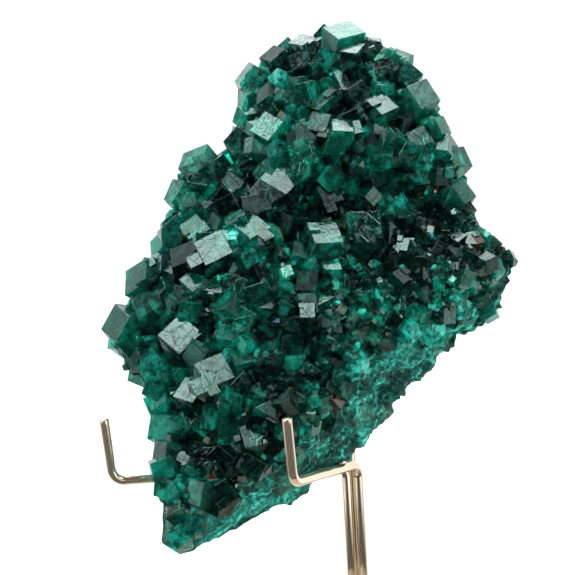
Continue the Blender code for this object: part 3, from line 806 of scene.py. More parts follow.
def chamfered(corners, widths):
    """Each face's corners drawn in along the face, by the same distance from both of the
    edges that meet there, which is a share of the crystal's width."""
    here = corners[:, CHAMFER_ROWS[:, 0]]
    before = corners[:, CHAMFER_ROWS[:, 1]] - here
    after = corners[:, CHAMFER_ROWS[:, 2]] - here
    before_length = np.linalg.norm(before, axis=-1, keepdims=True)
    after_length = np.linalg.norm(after, axis=-1, keepdims=True)
    before = before / before_length
    after = after / after_length
    sine = np.linalg.norm(np.cross(before, after), axis=-1, keepdims=True)
    inset = CHAMFER * widths[:, None, None] / np.maximum(sine, LEAST_SINE)
    inset = np.minimum(inset, LONGEST_CHAMFER * np.minimum(before_length, after_length))
    return here + inset * (before + after)


def repeat_faces(table, count, step):
    """A solid's faces, repeated for each of the solids that lie one after another."""
    starts = np.arange(count)[:, None] * step
    return [row for face in table for row in (starts + np.array(face)).tolist()]


def add_steps(crystals, seed, count):
    """Each crystal with parallel smaller ones on its end faces, whose tops stand a little
    above the host's face, so that they read as growth steps and split corners."""
    chance = np.random.default_rng(seed)
    grown = crystals
    lows = directions_at(np.radians(120.0 * np.arange(3)))
    for _ in range(count):
        size = len(crystals)
        share = chance.uniform(*STEP_WIDTH, size)
        bearing = chance.uniform(0.0, FULL_TURN, size)
        reach = (0.5 * crystals.widths) * (1.0 - share * chance.uniform(*STEP_ASIDE, size))
        aside = directions_at(bearing) * reach[:, None]
        fall = (aside @ lows.T).max(axis=1) * math.tan(RHOMB_SLOPE)
        widths = share * crystals.widths
        rises = crystals.rises - fall + widths * chance.uniform(*STEP_STANDS, size)
        rises = np.maximum(rises, LEAST_STEP_RISE * widths)
        aside = aside * crystals.stretch
        shift = np.concatenate([aside, np.zeros((size, 1))], axis=1)
        centres = crystals.centres + np.einsum("ni,nij->nj", shift, crystals.axes)
        tint = crystals.tint + chance.normal(0.0, STEP_TINT_SPREAD, size)
        tint = np.clip(tint, 0.0, 1.0)
        steps = Crystals(centres, crystals.axes, widths, rises, crystals.stretch, tint)
        grown = grown.joined(steps.pick(chance.uniform(0.0, 1.0, size) < STEPS_KEPT))
    return grown


def near_places(points, places):
    """1 at the middle of a listed place on the face, falling to 0 at its radius."""
    strength = np.zeros(len(points))
    for across, up, radius in places:
        gap = np.hypot(points[:, 0] - across, points[:, 1] - up) / radius
        strength = np.maximum(strength, 1.0 - smooth_step(*PLACE_FADE, gap))
    return strength


def rim_light_share(points):
    """How much painted rim light a crystal takes: 1 for crystals on the left-hand outline, less for
    those on the right of it, and 0 for those well inside it."""
    bearing = np.arctan2(points[:, 1], points[:, 0])
    share = np.hypot(points[:, 0], points[:, 1]) / outline_reach(bearing)
    side = blend(RIGHT_RIM, 1.0, smooth_step(*LEFT_RIM, -np.cos(bearing)))
    return smooth_step(*RIM_SHARE, share) * side


def wire_lines():
    """The straight runs of the wires that pass close by the specimen."""
    left = (*HOOK_LEFT_FOOT, ARM_HEIGHT_LEFT)
    right = (*HOOK_RIGHT_FOOT, ARM_HEIGHT_RIGHT)
    return np.array([
        (HOOK_LEFT_TIP, left),
        (left, (-POST_SPREAD, POST_FRONT, ARM_HEIGHT_LEFT - ARM_RISE_LEFT)),
        (HOOK_RIGHT_TIP, right),
        (right, (POST_SPREAD, POST_FRONT, ARM_HEIGHT_RIGHT)),
        ((0.0, POST_BACK + BACK_REST_RUN, BACK_REST_TOP), (0.0, POST_BACK, BACK_REST_KNEE)),
    ])


def clear_of_wires(crystals):
    """Which crystals keep all their corners clear of the wires."""
    corners = slab_to_scene(crystals.corners().reshape(-1, 3))
    nearest = np.full(len(corners), np.inf)
    for start, end in wire_lines():
        along = end - start
        share = np.clip((corners - start) @ along / along.dot(along), 0.0, 1.0)
        gap = np.linalg.norm(corners - start - share[:, None] * along, axis=1)
        nearest = np.minimum(nearest, gap)
    return nearest.reshape(-1, 13).min(axis=1) > WIRE_RADIUS + WIRE_CLEARANCE


def large_crystals():
    """The crystals that give the face its look, with their growth steps."""
    placed = place_large_crystals()
    chance = np.random.default_rng(STRETCH_SEED)
    main = np.arange(len(placed)) < len(MAIN_CRYSTALS)
    centres, axes, widths, rises = zip(*placed)
    widths = np.array(widths) * np.where(main, MAIN_TRIM, SCATTER_TRIM)
    stretch = chance.uniform(*SCATTER_STRETCH, (len(placed), 2))
    stretch[main] = chance.uniform(*MAIN_STRETCH, (int(main.sum()), 2))
    return Crystals(centres, axes, widths, rises, stretch, chance.uniform(0.0, 1.0, len(placed)))


def relief_spots(bearing, travel):
    """Points on the matrix with its lumps and chips, and their outward directions."""
    points = body_points(bearing, travel)
    normals = body_normals(bearing, travel)
    return points + normals * main_relief(points, travel)[:, None], normals


def scatter(seed, tries, width_range, spacing, standing):
    """Seeded crystals thrown on the face and rim, the widest first, each kept where its
    centre isn't too near the centre of one already placed."""
    chance = np.random.default_rng(seed)
    widths = np.sort(chance.uniform(*width_range, tries))[::-1]
    around = chance.uniform(-math.pi, math.pi, tries)
    travel = chance_travel(chance, tries, RIM_REACH)
    allowed = travel <= growth_limit(around, FILLING_LIMIT, chance)
    widths = widths[allowed]
    centres, normals = relief_spots(around[allowed], travel[allowed])
    coarse = 1.0 - fineness(centres[:, 0], centres[:, 1])
    widths = widths * (1.0 + COARSE_GAIN * coarse)
    filled = len(standing)
    near = np.concatenate([standing.centres, np.zeros_like(centres)])
    near_widths = np.concatenate([HOST_SHARE * standing.widths, np.zeros_like(widths)])
    kept = []
    for index in range(len(widths)):
        gaps = np.linalg.norm(near[:filled] - centres[index], axis=1)
        limits = spacing * 0.5 * (near_widths[:filled] + widths[index])
        if (gaps < limits).any():
            continue
        kept.append(index)
        near[filled] = centres[index]
        near_widths[filled] = widths[index]
        filled += 1
    kept = np.array(kept)
    return chance, centres[kept], normals[kept], widths[kept]


def filling_crystals(large):
    """Middling crystals in the room between the large ones."""
    chance, centres, normals, widths = scatter(
        FILLING_SEED, FILLING_TRIES, FILLING_WIDTH, FILLING_SPACING, large
    )
    count = len(widths)
    return Crystals(
        centres,
        chance_axes(normals, chance, FILLING_TILT),
        widths,
        widths * chance.uniform(*FILLING_RISE, count),
        chance.uniform(*FILLING_STRETCH, (count, 2)),
        chance.uniform(0.0, 1.0, count),
    )


def fine_crystals():
    """Fine crystals all over the face and rim, and a sparse crust on the back."""
    chance = np.random.default_rng(FINE_SEED)
    around = chance.uniform(-math.pi, math.pi, FINE_COUNT)
    travel = chance_travel(chance, FINE_COUNT, FINE_REACH)
    travel[:BACK_COUNT] = chance.uniform(*BACK_TRAVEL, BACK_COUNT)
    allowed = travel <= growth_limit(around, FINE_LIMIT, chance)
    allowed[:BACK_COUNT] = True
    centres, normals = relief_spots(around[allowed], travel[allowed])
    share = blend(COARSE_FINE_SHARE, 1.0, fineness(centres[:, 0], centres[:, 1]))
    kept = chance.uniform(0.0, 1.0, len(centres)) < share
    kept[:BACK_COUNT] = True
    centres, normals = centres[kept], normals[kept]
    count = len(centres)
    widths = blend(*FINE_CRYSTAL_WIDTH, chance.uniform(0.0, 1.0, count) ** FINE_WIDTH_POWER)
    return Crystals(
        centres,
        chance_axes(normals, chance, FINE_TILT),
        widths,
        widths * chance.uniform(*FINE_RISE, count),
        chance.uniform(*FINE_STRETCH, (count, 2)),
        chance.uniform(0.0, 1.0, count),
    )


def make_crystals(name, crystals, material, with_chamfers):
    """One piece of many crystals, each a closed solid rooted in the matrix. Its points carry the
    numbers that tint them and place painted shade, glow and rim light on them, of which tip is 1 at
    the apex and 0 at the root."""
    crystals = crystals.pick(clear_of_wires(crystals))
    corners = crystals.corners()
    table = CRYSTAL_FACES
    if with_chamfers:
        corners = chamfered(corners, crystals.widths)
        table = CHAMFER_FACES
    step = corners.shape[1]
    # tip sets the painted shade that darkens each crystal towards its root and the painted glow
    # towards its apex
    heights = np.concatenate([np.ones(1), np.full(6, SHOULDER_TIP), np.zeros(6)])
    if with_chamfers:
        heights = heights[CHAMFER_ROWS[:, 0]]
    specks = crystals.widths < SPECK_WIDTH
    each = {
        "tint": crystals.tint,
        "turquoise": near_places(crystals.centres, TURQUOISE_PLACES),
        "rust": specks * near_places(crystals.centres, RUST_PLACES),
        "violet": specks * near_places(crystals.centres, VIOLET_PLACES),
        "gold": specks * near_places(crystals.centres, GOLD_PLACES),
        # dark: painted shade in the listed hollows
        "dark": near_places(crystals.centres, SHADED_HOLLOWS),
        # rim: painted rim light on crystals at the outline
        "rim": rim_light_share(crystals.centres),
    }
    values = {key: np.repeat(numbers, step) for key, numbers in each.items()}
    values["tip"] = np.tile(heights, len(crystals))
    faces = repeat_faces(table, len(crystals), step)
    points = slab_to_scene(corners.reshape(-1, 3))
    return new_piece(name, points, faces, material, values)


# Stand


def rounded_route(corners, radius):
    """The corners joined by straight runs, each bend an arc of the given radius. The points
    of a run crowd towards its bend, because each goes a growing share of what is left."""
    corners = [np.array(corner, dtype=float) for corner in corners]
    route = [corners[0]]
    for before, corner, after in zip(corners, corners[1:], corners[2:]):
        arriving = unit(before - corner)
        leaving = unit(after - corner)
        half = math.acos(float(np.clip(arriving.dot(leaving), -1.0, 1.0))) / 2.0
        centre = corner + unit(arriving + leaving) * radius / math.sin(half)
        start = corner + arriving * radius / math.tan(half)
        end = corner + leaving * radius / math.tan(half)
        sweep = math.pi - 2.0 * half
        for k in range(1, RUN_STEPS):
            route.append(blend(route[-1], start, k / RUN_STEPS))
        for k in range(BEND_STEPS + 1):
            share = k / BEND_STEPS
            before_share = math.sin((1.0 - share) * sweep) / math.sin(sweep)
            after_share = math.sin(share * sweep) / math.sin(sweep)
            route.append(centre + before_share * (start - centre) + after_share * (end - centre))
    route.append(corners[-1])
    return np.array(route)


def make_wire(node, corners, material):
    """A bent wire: a circle carried along the route, square to it, with its two ends
    rounded over. The circle's first direction is square to the plane of the bends."""
    route = rounded_route(corners, BEND_RADIUS)
    tangents = unit(np.gradient(route, axis=0))
    square = unit(np.cross(route[-1] - route[-2], route[0] - route[-1]))
    first = unit(np.cross(tangents, square))
    second = np.cross(tangents, first)
    quarter = np.radians(np.linspace(0.0, 90.0, TIP_RINGS))
    end_radii = WIRE_RADIUS - WIRE_TIP * (1.0 - np.sin(quarter))
    end_backs = WIRE_TIP * (1.0 - np.cos(quarter))
    last = len(route) - 1
    rows = np.concatenate([np.zeros(TIP_RINGS, int), np.arange(1, last), np.full(TIP_RINGS, last)])
    radii = np.concatenate([end_radii, np.full(last - 1, WIRE_RADIUS), end_radii[::-1]])
    middles = route[rows].copy()
    middles[:TIP_RINGS] += tangents[0] * end_backs[:, None]
    middles[-TIP_RINGS:] -= tangents[-1] * end_backs[::-1, None]
    angle = np.linspace(0.0, FULL_TURN, WIRE_SIDES, endpoint=False)
    circle = (
        np.cos(angle)[None, :, None] * first[rows][:, None, :]
        + np.sin(angle)[None, :, None] * second[rows][:, None, :]
    )
    points = middles[:, None, :] + radii[:, None, None] * circle
    points = points.reshape(-1, 3)
    count = len(points)
    points = np.concatenate([points, middles[:1], middles[-1:]])
    faces = grid_faces(len(rows), WIRE_SIDES)
    faces += cap_faces(count, 0, WIRE_SIDES, True)
    faces += cap_faces(count + 1, count - WIRE_SIDES, WIRE_SIDES, False)
    piece = new_piece(node + "_tube", points, faces, material, smooth=True)
    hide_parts(node)


def make_stand(material):
    """The two arms, which come up the post side by side, and the back rest behind them."""
    for side, tip, foot, height, rise in (
        ("right", HOOK_RIGHT_TIP, HOOK_RIGHT_FOOT, ARM_HEIGHT_RIGHT, 0.0),
        ("left", HOOK_LEFT_TIP, HOOK_LEFT_FOOT, ARM_HEIGHT_LEFT, ARM_RISE_LEFT),
    ):
        post = (POST_SPREAD if side == "right" else -POST_SPREAD, POST_FRONT)
        corners = [tip, (*foot, height), (*post, height - rise), (*post, ROD_FOOT)]
        make_wire(side + "_arm_wire", corners, material)
    corners = [(0.0, POST_BACK + BACK_REST_RUN, BACK_REST_TOP)]
    corners += [(0.0, POST_BACK, height) for height in (BACK_REST_KNEE, ROD_FOOT)]
    make_wire("back_rest_wire", corners, material)


def make_base(material):
    """A profile turned about the post: underside, rounded rim, top, and the socket with
    its chamfered mouth, its wall and its floor."""
    turn = np.radians(np.linspace(-90.0, 0.0, EDGE_RINGS))
    lower = np.stack([
        BASE_RADIUS - BASE_EDGE + BASE_EDGE * np.cos(turn),
        BASE_EDGE + BASE_EDGE * np.sin(turn),
    ], axis=1)
    upper = np.stack([lower[::-1, 0], BASE_THICKNESS - lower[::-1, 1]], axis=1)
    flat_ring = BASE_RADIUS * FLAT_RING_SHARE
    inner = np.array([
        (flat_ring, BASE_THICKNESS),
        (SOCKET_RADIUS + SOCKET_CHAMFER, BASE_THICKNESS),
        (SOCKET_RADIUS, BASE_THICKNESS - SOCKET_CHAMFER),
        (SOCKET_RADIUS, BASE_THICKNESS - SOCKET_DEPTH),
    ])
    profile = np.concatenate([[(flat_ring, 0.0)], lower, upper, inner])
    angle = np.linspace(0.0, FULL_TURN, BASE_SIDES, endpoint=False)
    points = np.stack([
        profile[:, :1] * np.cos(angle),
        profile[:, :1] * np.sin(angle),
        profile[:, 1:] * np.ones(BASE_SIDES),
    ], axis=-1).reshape(-1, 3)
    count = len(points)
    ends = np.array([(0.0, 0.0, 0.0), (0.0, 0.0, BASE_THICKNESS - SOCKET_DEPTH)])
    faces = [face[::-1] for face in grid_faces(len(profile), BASE_SIDES)]
    faces += cap_faces(count, 0, BASE_SIDES, False)
    faces += cap_faces(count + 1, count - BASE_SIDES, BASE_SIDES, True)
    points = np.concatenate([points, ends])
    piece = new_piece("stand_base_plate", points, faces, material, smooth=True)
    piece.data.set_sharp_from_angle(angle=SHARP_ANGLE)
    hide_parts("stand_base")


# Nodes and materials


class Nodes:
    """A node tree, with short ways to add its nodes and join them."""

    def __init__(self, tree):
        """Works on this tree, which keeps the nodes that it already has."""
        self.tree = tree

    def put(self, socket, value):
        """Sets a socket to a number or colour, or joins another node's output to it."""
        if isinstance(value, bpy.types.NodeSocket):
            self.tree.links.new(value, socket)
        elif isinstance(value, tuple) and len(value) == 3 and socket.type == "RGBA":
            socket.default_value = (*value, 1.0)
        else:
            socket.default_value = value

    def node(self, kind, inputs=None, **settings):
        """A new node of this kind with its settings, and its inputs put by name."""
        made = self.tree.nodes.new(kind)
        for key, value in settings.items():
            setattr(made, key, value)
        for key, value in (inputs or {}).items():
            self.put(made.inputs[key], value)
        return made

    def spread(self, value, low, high, to_low=0.0, to_high=1.0):
        """A value from low to high, moved onto another range and held inside it."""
        names = ("Value", "From Min", "From Max", "To Min", "To Max")
        inputs = dict(zip(names, (value, low, high, to_low, to_high)))
        made = self.node("ShaderNodeMapRange", inputs, interpolation_type="SMOOTHSTEP")
        return made.outputs["Result"]

    def times(self, a, b):
        """The two values multiplied."""
        return self.maths("MULTIPLY", a, b)

    def plus(self, a, b):
        """The two values added."""
        return self.maths("ADD", a, b)

    def maths(self, how, *values):
        """What Blender's maths node of this name makes of the values."""
        made = self.node("ShaderNodeMath", operation=how)
        for socket, value in zip(made.inputs, values):
            self.put(socket, value)
        return made.outputs[0]

    def mix(self, share, a, b, kind="RGBA"):
        """Colour a at a share of 0, b at a share of 1, and an even blend between them."""
        made = self.node("ShaderNodeMix", {"Factor": share, "A": a, "B": b}, data_type=kind)
        return made.outputs["Result"]


class Finish(Nodes):
    """A material's node tree. Noise and crack scales are in cells to a metre."""

    def __init__(self, name):
        """A new material, with its shader, its output and the object's coordinates."""
        self.material = bpy.data.materials.new(name)
        self.material.use_nodes = True
        super().__init__(self.material.node_tree)
        self.shader = self.tree.nodes["Principled BSDF"]
        self.output = self.tree.nodes["Material Output"]
        self.place = self.node("ShaderNodeTexCoord").outputs["Object"]

    def stretched(self, scale, place=None):
        """The object's own coordinates, or others, scaled along each axis."""
        inputs = {"Vector": place or self.place, "Scale": scale}
        return self.node("ShaderNodeMapping", inputs).outputs["Vector"]

    def noise(self, scale, detail=3.0, rough=0.5, distortion=0.0, place=None):
        """Cloudy noise, about 0 to 1 and mostly near its middle."""
        inputs = {
            "Vector": place or self.place,
            "Scale": scale,
            "Detail": detail,
            "Roughness": rough,
            "Distortion": distortion,
        }
        return self.node("ShaderNodeTexNoise", inputs).outputs["Fac"]

    def cracks(self, scale, place):
        """How far a point is from the nearest crack, in cells."""
        inputs = {"Vector": place, "Scale": scale}
        made = self.node("ShaderNodeTexVoronoi", inputs, feature="DISTANCE_TO_EDGE")
        return made.outputs["Distance"]

    def number(self, name):
        """The number of this name that the piece's points carry."""
        return self.node("ShaderNodeAttribute", attribute_name=name).outputs["Fac"]

    def bump(self, height, distance, strength=1.0, under=None):
        """Relief from a height, of this depth in metres, over any relief under it."""
        inputs = {"Height": height, "Distance": distance, "Strength": strength}
        if under is not None:
            inputs["Normal"] = under
        return self.node("ShaderNodeBump", inputs).outputs["Normal"]

    def set(self, **values):
        """Sets sockets of the shader, whose names have spaces for the underscores."""
        for key, value in values.items():
            self.put(self.shader.inputs[key.replace("_", " ")], value)
        return self.material


# Colours, as linear red, green and blue
# Painted shade: crystals fade to this near black at their roots
ROOT_SHADE_GREEN = (0.0003, 0.003, 0.0025)
DARK_GREEN = (0.0006, 0.016, 0.012)
DEEP_GREEN = (0.003, 0.21, 0.145)
# Painted glow of light coming through the crystals
PAINTED_GLOW_GREEN = (0.016, 0.98, 0.68)
# Painted rim light on the crystals at the outline
PAINTED_RIM_LIGHT_GREEN = (0.015, 0.92, 0.70)
GROWTH_DARK = (0.002, 0.14, 0.10)
GROWTH_PALE = (0.035, 1.0, 0.78)
SPECK_COLOURS = {
    "rust": (0.42, 0.055, 0.014),
    "violet": (0.26, 0.24, 0.66),
    "gold": (0.80, 0.50, 0.12),
}
REFLECTED_TINT = (0.67, 1.0, 0.90)
SEEN_THROUGH = (0.20, 0.90, 0.78)
# Painted shade: the near-black matrix under the crystals, as dark as crevices
UNDER_SHADE_DARK = (0.0006, 0.006, 0.005)
UNDER_SHADE_LIGHT = (0.002, 0.06, 0.042)
DARK_TEAL = ((0.001, 0.016, 0.013), (0.004, 0.13, 0.10))
LIGHT_TEAL = ((0.004, 0.125, 0.095), (0.022, 0.62, 0.48))
# Pale fibres on the bare rock, partly their own colour and partly painted highlights along ridges
VEIN_AND_HIGHLIGHT_TURQUOISE = (0.14, 0.92, 0.76)
OLIVE_GREY = ((0.035, 0.050, 0.033), (0.17, 0.20, 0.14))
ROCK_RUST = (0.17, 0.038, 0.012)
# Painted shade in the grooves between the fibres
GROOVE_SHADE_GREEN = (0.002, 0.030, 0.028)
WARM_NICKEL = ((0.97, 0.83, 0.65), (0.86, 0.71, 0.52))
SATIN_NICKEL = ((0.50, 0.46, 0.39), (0.40, 0.36, 0.30))
BRUSHED_LINE = (0.28, 0.25, 0.20)
FLOOR_WHITE = ((0.86, 0.86, 0.855), (0.90, 0.90, 0.895))


def crystal_colour(finish, paleness):
    """Painted shade near black at the root, dark to deep green by the crystal's tint and darker in
    the shaded hollows, clouds of painted glow inside it that fade towards the root, and painted rim
    light, then turquoise growth and specks where its numbers say."""
    clouds = finish.spread(finish.noise(340.0, 4.0, 0.55, 0.8), 0.46, 0.62)
    patches = finish.spread(finish.noise(150.0, 2.0, 0.5), 0.40, 0.62)
    shade = finish.spread(finish.number("tint"), 0.28, 1.0)
    tip = finish.number("tip")
    # Painted glow of light through the crystal: clouds, stronger on deeper crystals and towards the
    # apex, none in the shaded hollows
    glow = finish.times(clouds, finish.plus(patches, 0.38))
    glow = finish.plus(glow, finish.times(shade, 0.06))
    glow = finish.times(glow, finish.plus(shade, 0.35))
    glow = finish.times(glow, tip)
    # Painted shade in the listed hollows, which dims the glow and the deep green
    dark = finish.times(finish.number("dark"), 0.88)
    open_share = finish.maths("SUBTRACT", 1.0, dark)
    glow = finish.times(glow, open_share)
    deep_share = finish.times(shade, open_share)
    # Painted shade: near black at the root, rising to the body green at the apex
    body = finish.mix(tip, ROOT_SHADE_GREEN, finish.mix(deep_share, DARK_GREEN, DEEP_GREEN))
    body = finish.mix(glow, body, PAINTED_GLOW_GREEN)
    # Painted rim light at the outline, stronger on deeper crystals
    rim = finish.times(finish.number("rim"), finish.times(tip, 0.95))
    rim = finish.times(rim, finish.plus(deep_share, 0.1))
    body = finish.mix(rim, body, PAINTED_RIM_LIGHT_GREEN)
    grain = finish.spread(finish.noise(620.0, 6.0, 0.7), 0.40, 0.62)
    paler = finish.maths("MAXIMUM", finish.number("turquoise"), paleness)
    body = finish.mix(paler, body, finish.mix(grain, GROWTH_DARK, GROWTH_PALE))
    for speck, colour in SPECK_COLOURS.items():
        body = finish.mix(finish.number(speck), body, colour)
    return body


def crystal_material(name, clearness, density, paleness=0.0):
    """See-through green crystal with fine cracks and pits on its faces, and dull patches
    on them. Paler growth is rougher, and a higher density absorbs more of the light."""
    finish = Finish(name)
    cracks = finish.spread(finish.cracks(260.0, finish.stretched((1.0, 1.6, 0.8))), 0.0, 0.035)
    pits = finish.spread(finish.noise(1500.0, 3.0, 0.6), 0.30, 0.42)
    normal = finish.bump(cracks, 0.00006, 0.24)
    normal = finish.bump(pits, 0.00004, 0.35, normal)
    normal = finish.bump(finish.noise(3600.0, 2.0, 0.5), 0.00001, 0.28, normal)
    smooth, dull = 0.03 + 0.25 * paleness, 0.32 + 0.2 * paleness
    finish.set(
        Base_Color=crystal_colour(finish, paleness),
        Roughness=finish.spread(finish.noise(700.0, 4.0, 0.6), 0.40, 0.72, smooth, dull),
        IOR=1.67,
        Specular_Tint=REFLECTED_TINT,
        Transmission_Weight=clearness,
        Normal=normal,
    )
    absorb = finish.node("ShaderNodeVolumeAbsorption", {"Color": SEEN_THROUGH, "Density": density})
    finish.put(finish.output.inputs["Volume"], absorb.outputs[0])
    return finish.material


def rock_material():
    """The matrix: near-black green under the crystals as painted shade, and where it is bare a
    rough turquoise with pale fibres that partly carry painted highlights, grey-olive patches, dark
    grooves of painted shade and rust spots."""
    finish = Finish("matrix")
    lay = {"X": finish.number("along"), "Y": finish.number("level")}
    lay = finish.node("ShaderNodeCombineXYZ", lay).outputs[0]
    fibre = finish.noise(1.1, 6.0, 0.66, 0.2, finish.stretched((0.14, 1.0, 1.0), lay))
    fine = finish.noise(1300.0, 5.0, 0.7)
    clouds = finish.spread(finish.noise(260.0, 6.0, 0.65, 0.8), 0.34, 0.68)
    patches = finish.spread(finish.noise(170.0, 5.0, 0.62, 0.5), 0.44, 0.62)
    grain = finish.spread(fine, 0.35, 0.68)
    dark_teal = finish.mix(grain, *DARK_TEAL)
    teal = finish.mix(patches, dark_teal, finish.mix(grain, *LIGHT_TEAL))
    veins = finish.plus(fibre, finish.times(fine, 0.4))
    veins = finish.spread(veins, 0.72, 0.88)
    veins = finish.times(veins, finish.maths("MULTIPLY_ADD", patches, 0.7, 0.5))
    # Pale fibres, partly painted highlights along ridges
    teal = finish.mix(veins, teal, VEIN_AND_HIGHLIGHT_TURQUOISE)
    back_share = finish.maths("SUBTRACT", 1.0, finish.number("edge"))
    teal = finish.mix(finish.times(back_share, 0.55), teal, dark_teal)
    olive_share = finish.spread(finish.noise(210.0, 4.0, 0.6), 0.52, 0.66)
    most_olive = finish.maths("MULTIPLY_ADD", back_share, 0.5, 0.5)
    olive_share = finish.times(olive_share, most_olive)
    olive = finish.mix(finish.spread(fine, 0.3, 0.7), *OLIVE_GREY)
    open_rock = finish.mix(olive_share, teal, olive)
    rust = finish.spread(finish.noise(330.0, 3.0, 0.6, 1.0), 0.66, 0.74)
    open_rock = finish.mix(finish.times(rust, 0.7), open_rock, ROCK_RUST)
    # Painted shade in the grooves between the fibres
    open_rock = finish.mix(finish.spread(fibre, 0.30, 0.44), GROOVE_SHADE_GREEN, open_rock)
    # Painted shade under the crystals
    under = finish.mix(clouds, UNDER_SHADE_DARK, UNDER_SHADE_LIGHT)
    normal = finish.bump(fine, 0.0004, 0.7)
    normal = finish.bump(finish.noise(3800.0, 3.0, 0.6), 0.0001, 0.5, normal)
    return finish.set(
        Base_Color=finish.mix(finish.number("bare"), under, open_rock),
        Roughness=finish.spread(fine, 0.3, 0.7, 0.28, 0.62),
        IOR=1.6,
        Specular_IOR_Level=0.2,
        Normal=normal,
    )


def wire_material():
    """Polished nickel with a warm cast, faint drawing lines and a few dull smears."""
    finish = Finish("polished_wire")
    smears = finish.noise(90.0, 4.0, 0.6)
    lines = finish.noise(2600.0, 2.0, 0.5, 0.0, finish.stretched((1.0, 1.0, 0.04)))
    return finish.set(
        Base_Color=finish.mix(finish.spread(smears, 0.35, 0.7), *WARM_NICKEL),
        Metallic=0.88,
        Roughness=finish.spread(smears, 0.3, 0.75, 0.08, 0.16),
        Normal=finish.bump(lines, 0.00002, 0.25),
    )


def base_material():
    """Satin nickel, brushed in rings round the post, with faint smears."""
    finish = Finish("base_plate")
    smears = finish.noise(60.0, 4.0, 0.6)
    place = finish.node("ShaderNodeSeparateXYZ", {"Vector": finish.place}).outputs
    squares = [finish.times(place[axis], place[axis]) for axis in "XY"]
    radius = finish.maths("POWER", finish.plus(*squares), 0.5)
    rings = {"W": radius, "Scale": 4200.0, "Detail": 4.0}
    rings = finish.node("ShaderNodeTexNoise", rings, noise_dimensions="1D").outputs["Fac"]
    line_share = finish.spread(rings, 0.3, 0.7, 0.0, 0.25)
    return finish.set(
        Base_Color=finish.mix(line_share, finish.mix(smears, *SATIN_NICKEL), BRUSHED_LINE),
        Metallic=1.0,
        Roughness=finish.spread(finish.plus(smears, rings), 0.7, 1.3, 0.34, 0.52),
        Normal=finish.bump(rings, 0.00003, 0.35),
    )


# Studio

FLOOR_REACH = 3000.0
TENT_STRENGTH = 1.15
BACKDROP_STRENGTH = 1.05
CAMERA_SIDE = (0.0, -1.0, -0.05)
CAMERA_HOLE = (74.0, 116.0)
HOLE_STRENGTH = 0.02
# Soft boxes: the middle of a cone of directions, its inner and outer angle in degrees,
# and the strength that it adds
SOFT_BOXES = [
    ((-0.42, -0.62, 0.66), 14.0, 19.0, 7.5),
    ((0.56, -0.83, -0.04), 5.0, 10.0, 1.4),
    ((0.79, -0.62, -0.04), 6.0, 11.0, 2.0),
    ((0.94, -0.34, -0.04), 6.0, 12.0, 2.2),
    ((-0.56, -0.83, -0.04), 5.0, 10.0, 1.4),
    ((-0.79, -0.62, -0.04), 6.0, 11.0, 2.0),
    ((-0.94, -0.34, -0.04), 6.0, 12.0, 2.2),
    ((0.12, -0.90, 0.42), 6.0, 12.0, 1.3),
    ((0.72, -0.42, 0.55), 8.0, 13.0, 3.0),
    ((0.0, 0.25, 1.0), 18.0, 28.0, 5.0),
]


def make_floor():
    """A wide pale floor under the stand's base, which glossy faces don't mirror."""
    mesh = bpy.data.meshes.new("pale_floor")
    reach = FLOOR_REACH * MM
    rows = [(-reach, -reach, 0.0), (reach, -reach, 0.0), (reach, reach, 0.0), (-reach, reach, 0.0)]
    mesh.from_pydata(rows, [], [(0, 1, 2, 3)])
    finish = Finish("pale_floor")
    colour = finish.mix(finish.noise(9.0, 3.0, 0.5), *FLOOR_WHITE)
    mesh.materials.append(finish.set(Base_Color=colour, Roughness=0.7))
    floor = bpy.data.objects.new("pale_floor", mesh)
    bpy.context.scene.collection.objects.link(floor)
    floor.visible_glossy = False


def cone(sky, heading, middle, inner, outer, low, high):
    """A number over the sky: high within the inner angle of the middle direction, low past
    the outer one, and an even S between them."""
    length = math.sqrt(sum(part * part for part in middle))
    dot = sky.node("ShaderNodeVectorMath", operation="DOT_PRODUCT")
    sky.put(dot.inputs[0], heading)
    sky.put(dot.inputs[1], tuple(part / length for part in middle))
    edges = [math.cos(math.radians(angle)) for angle in (outer, inner)]
    return sky.spread(dot.outputs["Value"], *edges, low, high)


def make_studio():
    """A white tent round the object, dark towards the camera, with soft boxes in it. The
    camera itself sees an even white."""
    world = bpy.data.worlds.new("white_tent")
    world.use_nodes = True
    sky = Nodes(world.node_tree)
    background = sky.tree.nodes["Background"]
    heading = sky.node("ShaderNodeTexCoord").outputs["Generated"]
    total = cone(sky, heading, CAMERA_SIDE, *CAMERA_HOLE, TENT_STRENGTH, HOLE_STRENGTH)
    for middle, inner, outer, strength in SOFT_BOXES:
        box = cone(sky, heading, middle, inner, outer, 0.0, strength)
        total = sky.plus(total, box)
    seen = sky.node("ShaderNodeLightPath").outputs["Is Camera Ray"]
    sky.put(background.inputs["Strength"], sky.mix(seen, total, BACKDROP_STRENGTH, "FLOAT"))
    sky.put(background.inputs["Color"], (1.0, 1.0, 1.0))
    bpy.context.scene.world = world
    bpy.context.scene.view_settings.view_transform = "Standard"


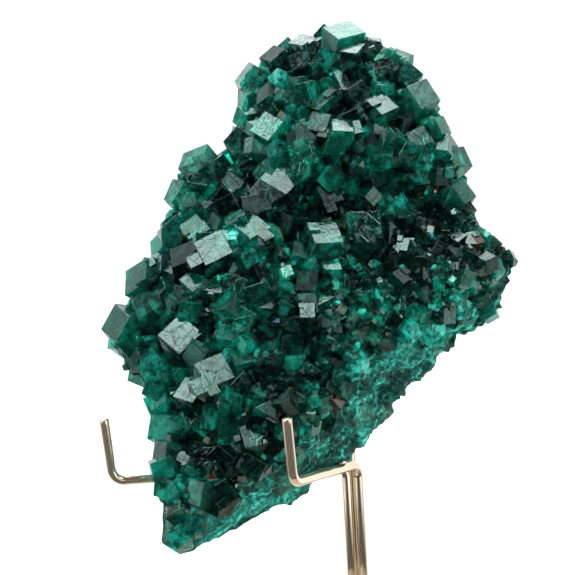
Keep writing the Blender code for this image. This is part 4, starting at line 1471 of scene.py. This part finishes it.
def make_camera():
    """A long lens almost level with the specimen, rolled a little as the photograph is."""
    back = np.array([0.0, -math.cos(CAMERA_RISE), math.sin(CAMERA_RISE)])
    level_up = np.array([0.0, math.sin(CAMERA_RISE), math.cos(CAMERA_RISE)])
    across = np.array([1.0, 0.0, 0.0])
    roll_c, roll_s = math.cos(CAMERA_ROLL), math.sin(CAMERA_ROLL)
    right = roll_c * across - roll_s * level_up
    up = roll_s * across + roll_c * level_up
    aim = SLAB_CENTRE + CAMERA_ASIDE[0] * right + CAMERA_ASIDE[1] * up
    place = (aim + CAMERA_DISTANCE * back) * MM
    camera = bpy.data.objects.new("camera", bpy.data.cameras.new("camera"))
    camera.data.lens = CAMERA_LENS
    camera.data.sensor_width = SENSOR_WIDTH
    camera.data.clip_start = NEAREST_SEEN
    camera.matrix_world = Matrix([
        (*row, part) for row, part in zip(np.stack([right, up, back], axis=1).tolist(), place)
    ] + [(0.0, 0.0, 0.0, 1.0)])
    bpy.context.scene.collection.objects.link(camera)
    bpy.context.scene.camera = camera


def make_specimen():
    """The matrix and its crystals, which together stand for the specimen's solid."""
    clear = crystal_material("clear_dioptase", clearness=0.82, density=200.0)
    cloudy = crystal_material("cloudy_dioptase", clearness=0.6, density=300.0)
    turquoise = crystal_material("turquoise_growth", clearness=0.35, density=300.0, paleness=0.8)
    large = large_crystals()
    filling = filling_crystals(large)
    fine = fine_crystals()
    pale_filling = near_places(filling.centres, TURQUOISE_PLACES) > PALE_FROM
    pale_filling &= filling.widths < PALE_WIDTH
    pale_fine = near_places(fine.centres, TURQUOISE_PLACES) > PALE_FROM
    # The highest-tint fine crystals take the pale turquoise as painted glints
    pale_fine |= fine.tint > PALE_GLINT_TINT
    growth = add_steps(filling.pick(pale_filling), *TURQUOISE_STEPS).joined(fine.pick(pale_fine))
    large = add_steps(large, *LARGE_STEPS)
    filling = add_steps(filling.pick(~pale_filling), *FILLING_STEPS)
    pieces = [
        make_matrix(rock_material()),
        make_crystals("large_crystals", large, clear, True),
        make_crystals("filling_crystals", filling, clear, True),
        make_crystals("fine_crystals", fine.pick(~pale_fine), cloudy, False),
        make_crystals("turquoise_crystals", growth, turquoise, True),
    ]
    for piece in pieces:
        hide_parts("dioptase_specimen")


make_camera()
make_studio()
make_floor()
make_specimen()
make_stand(wire_material())
make_base(base_material())
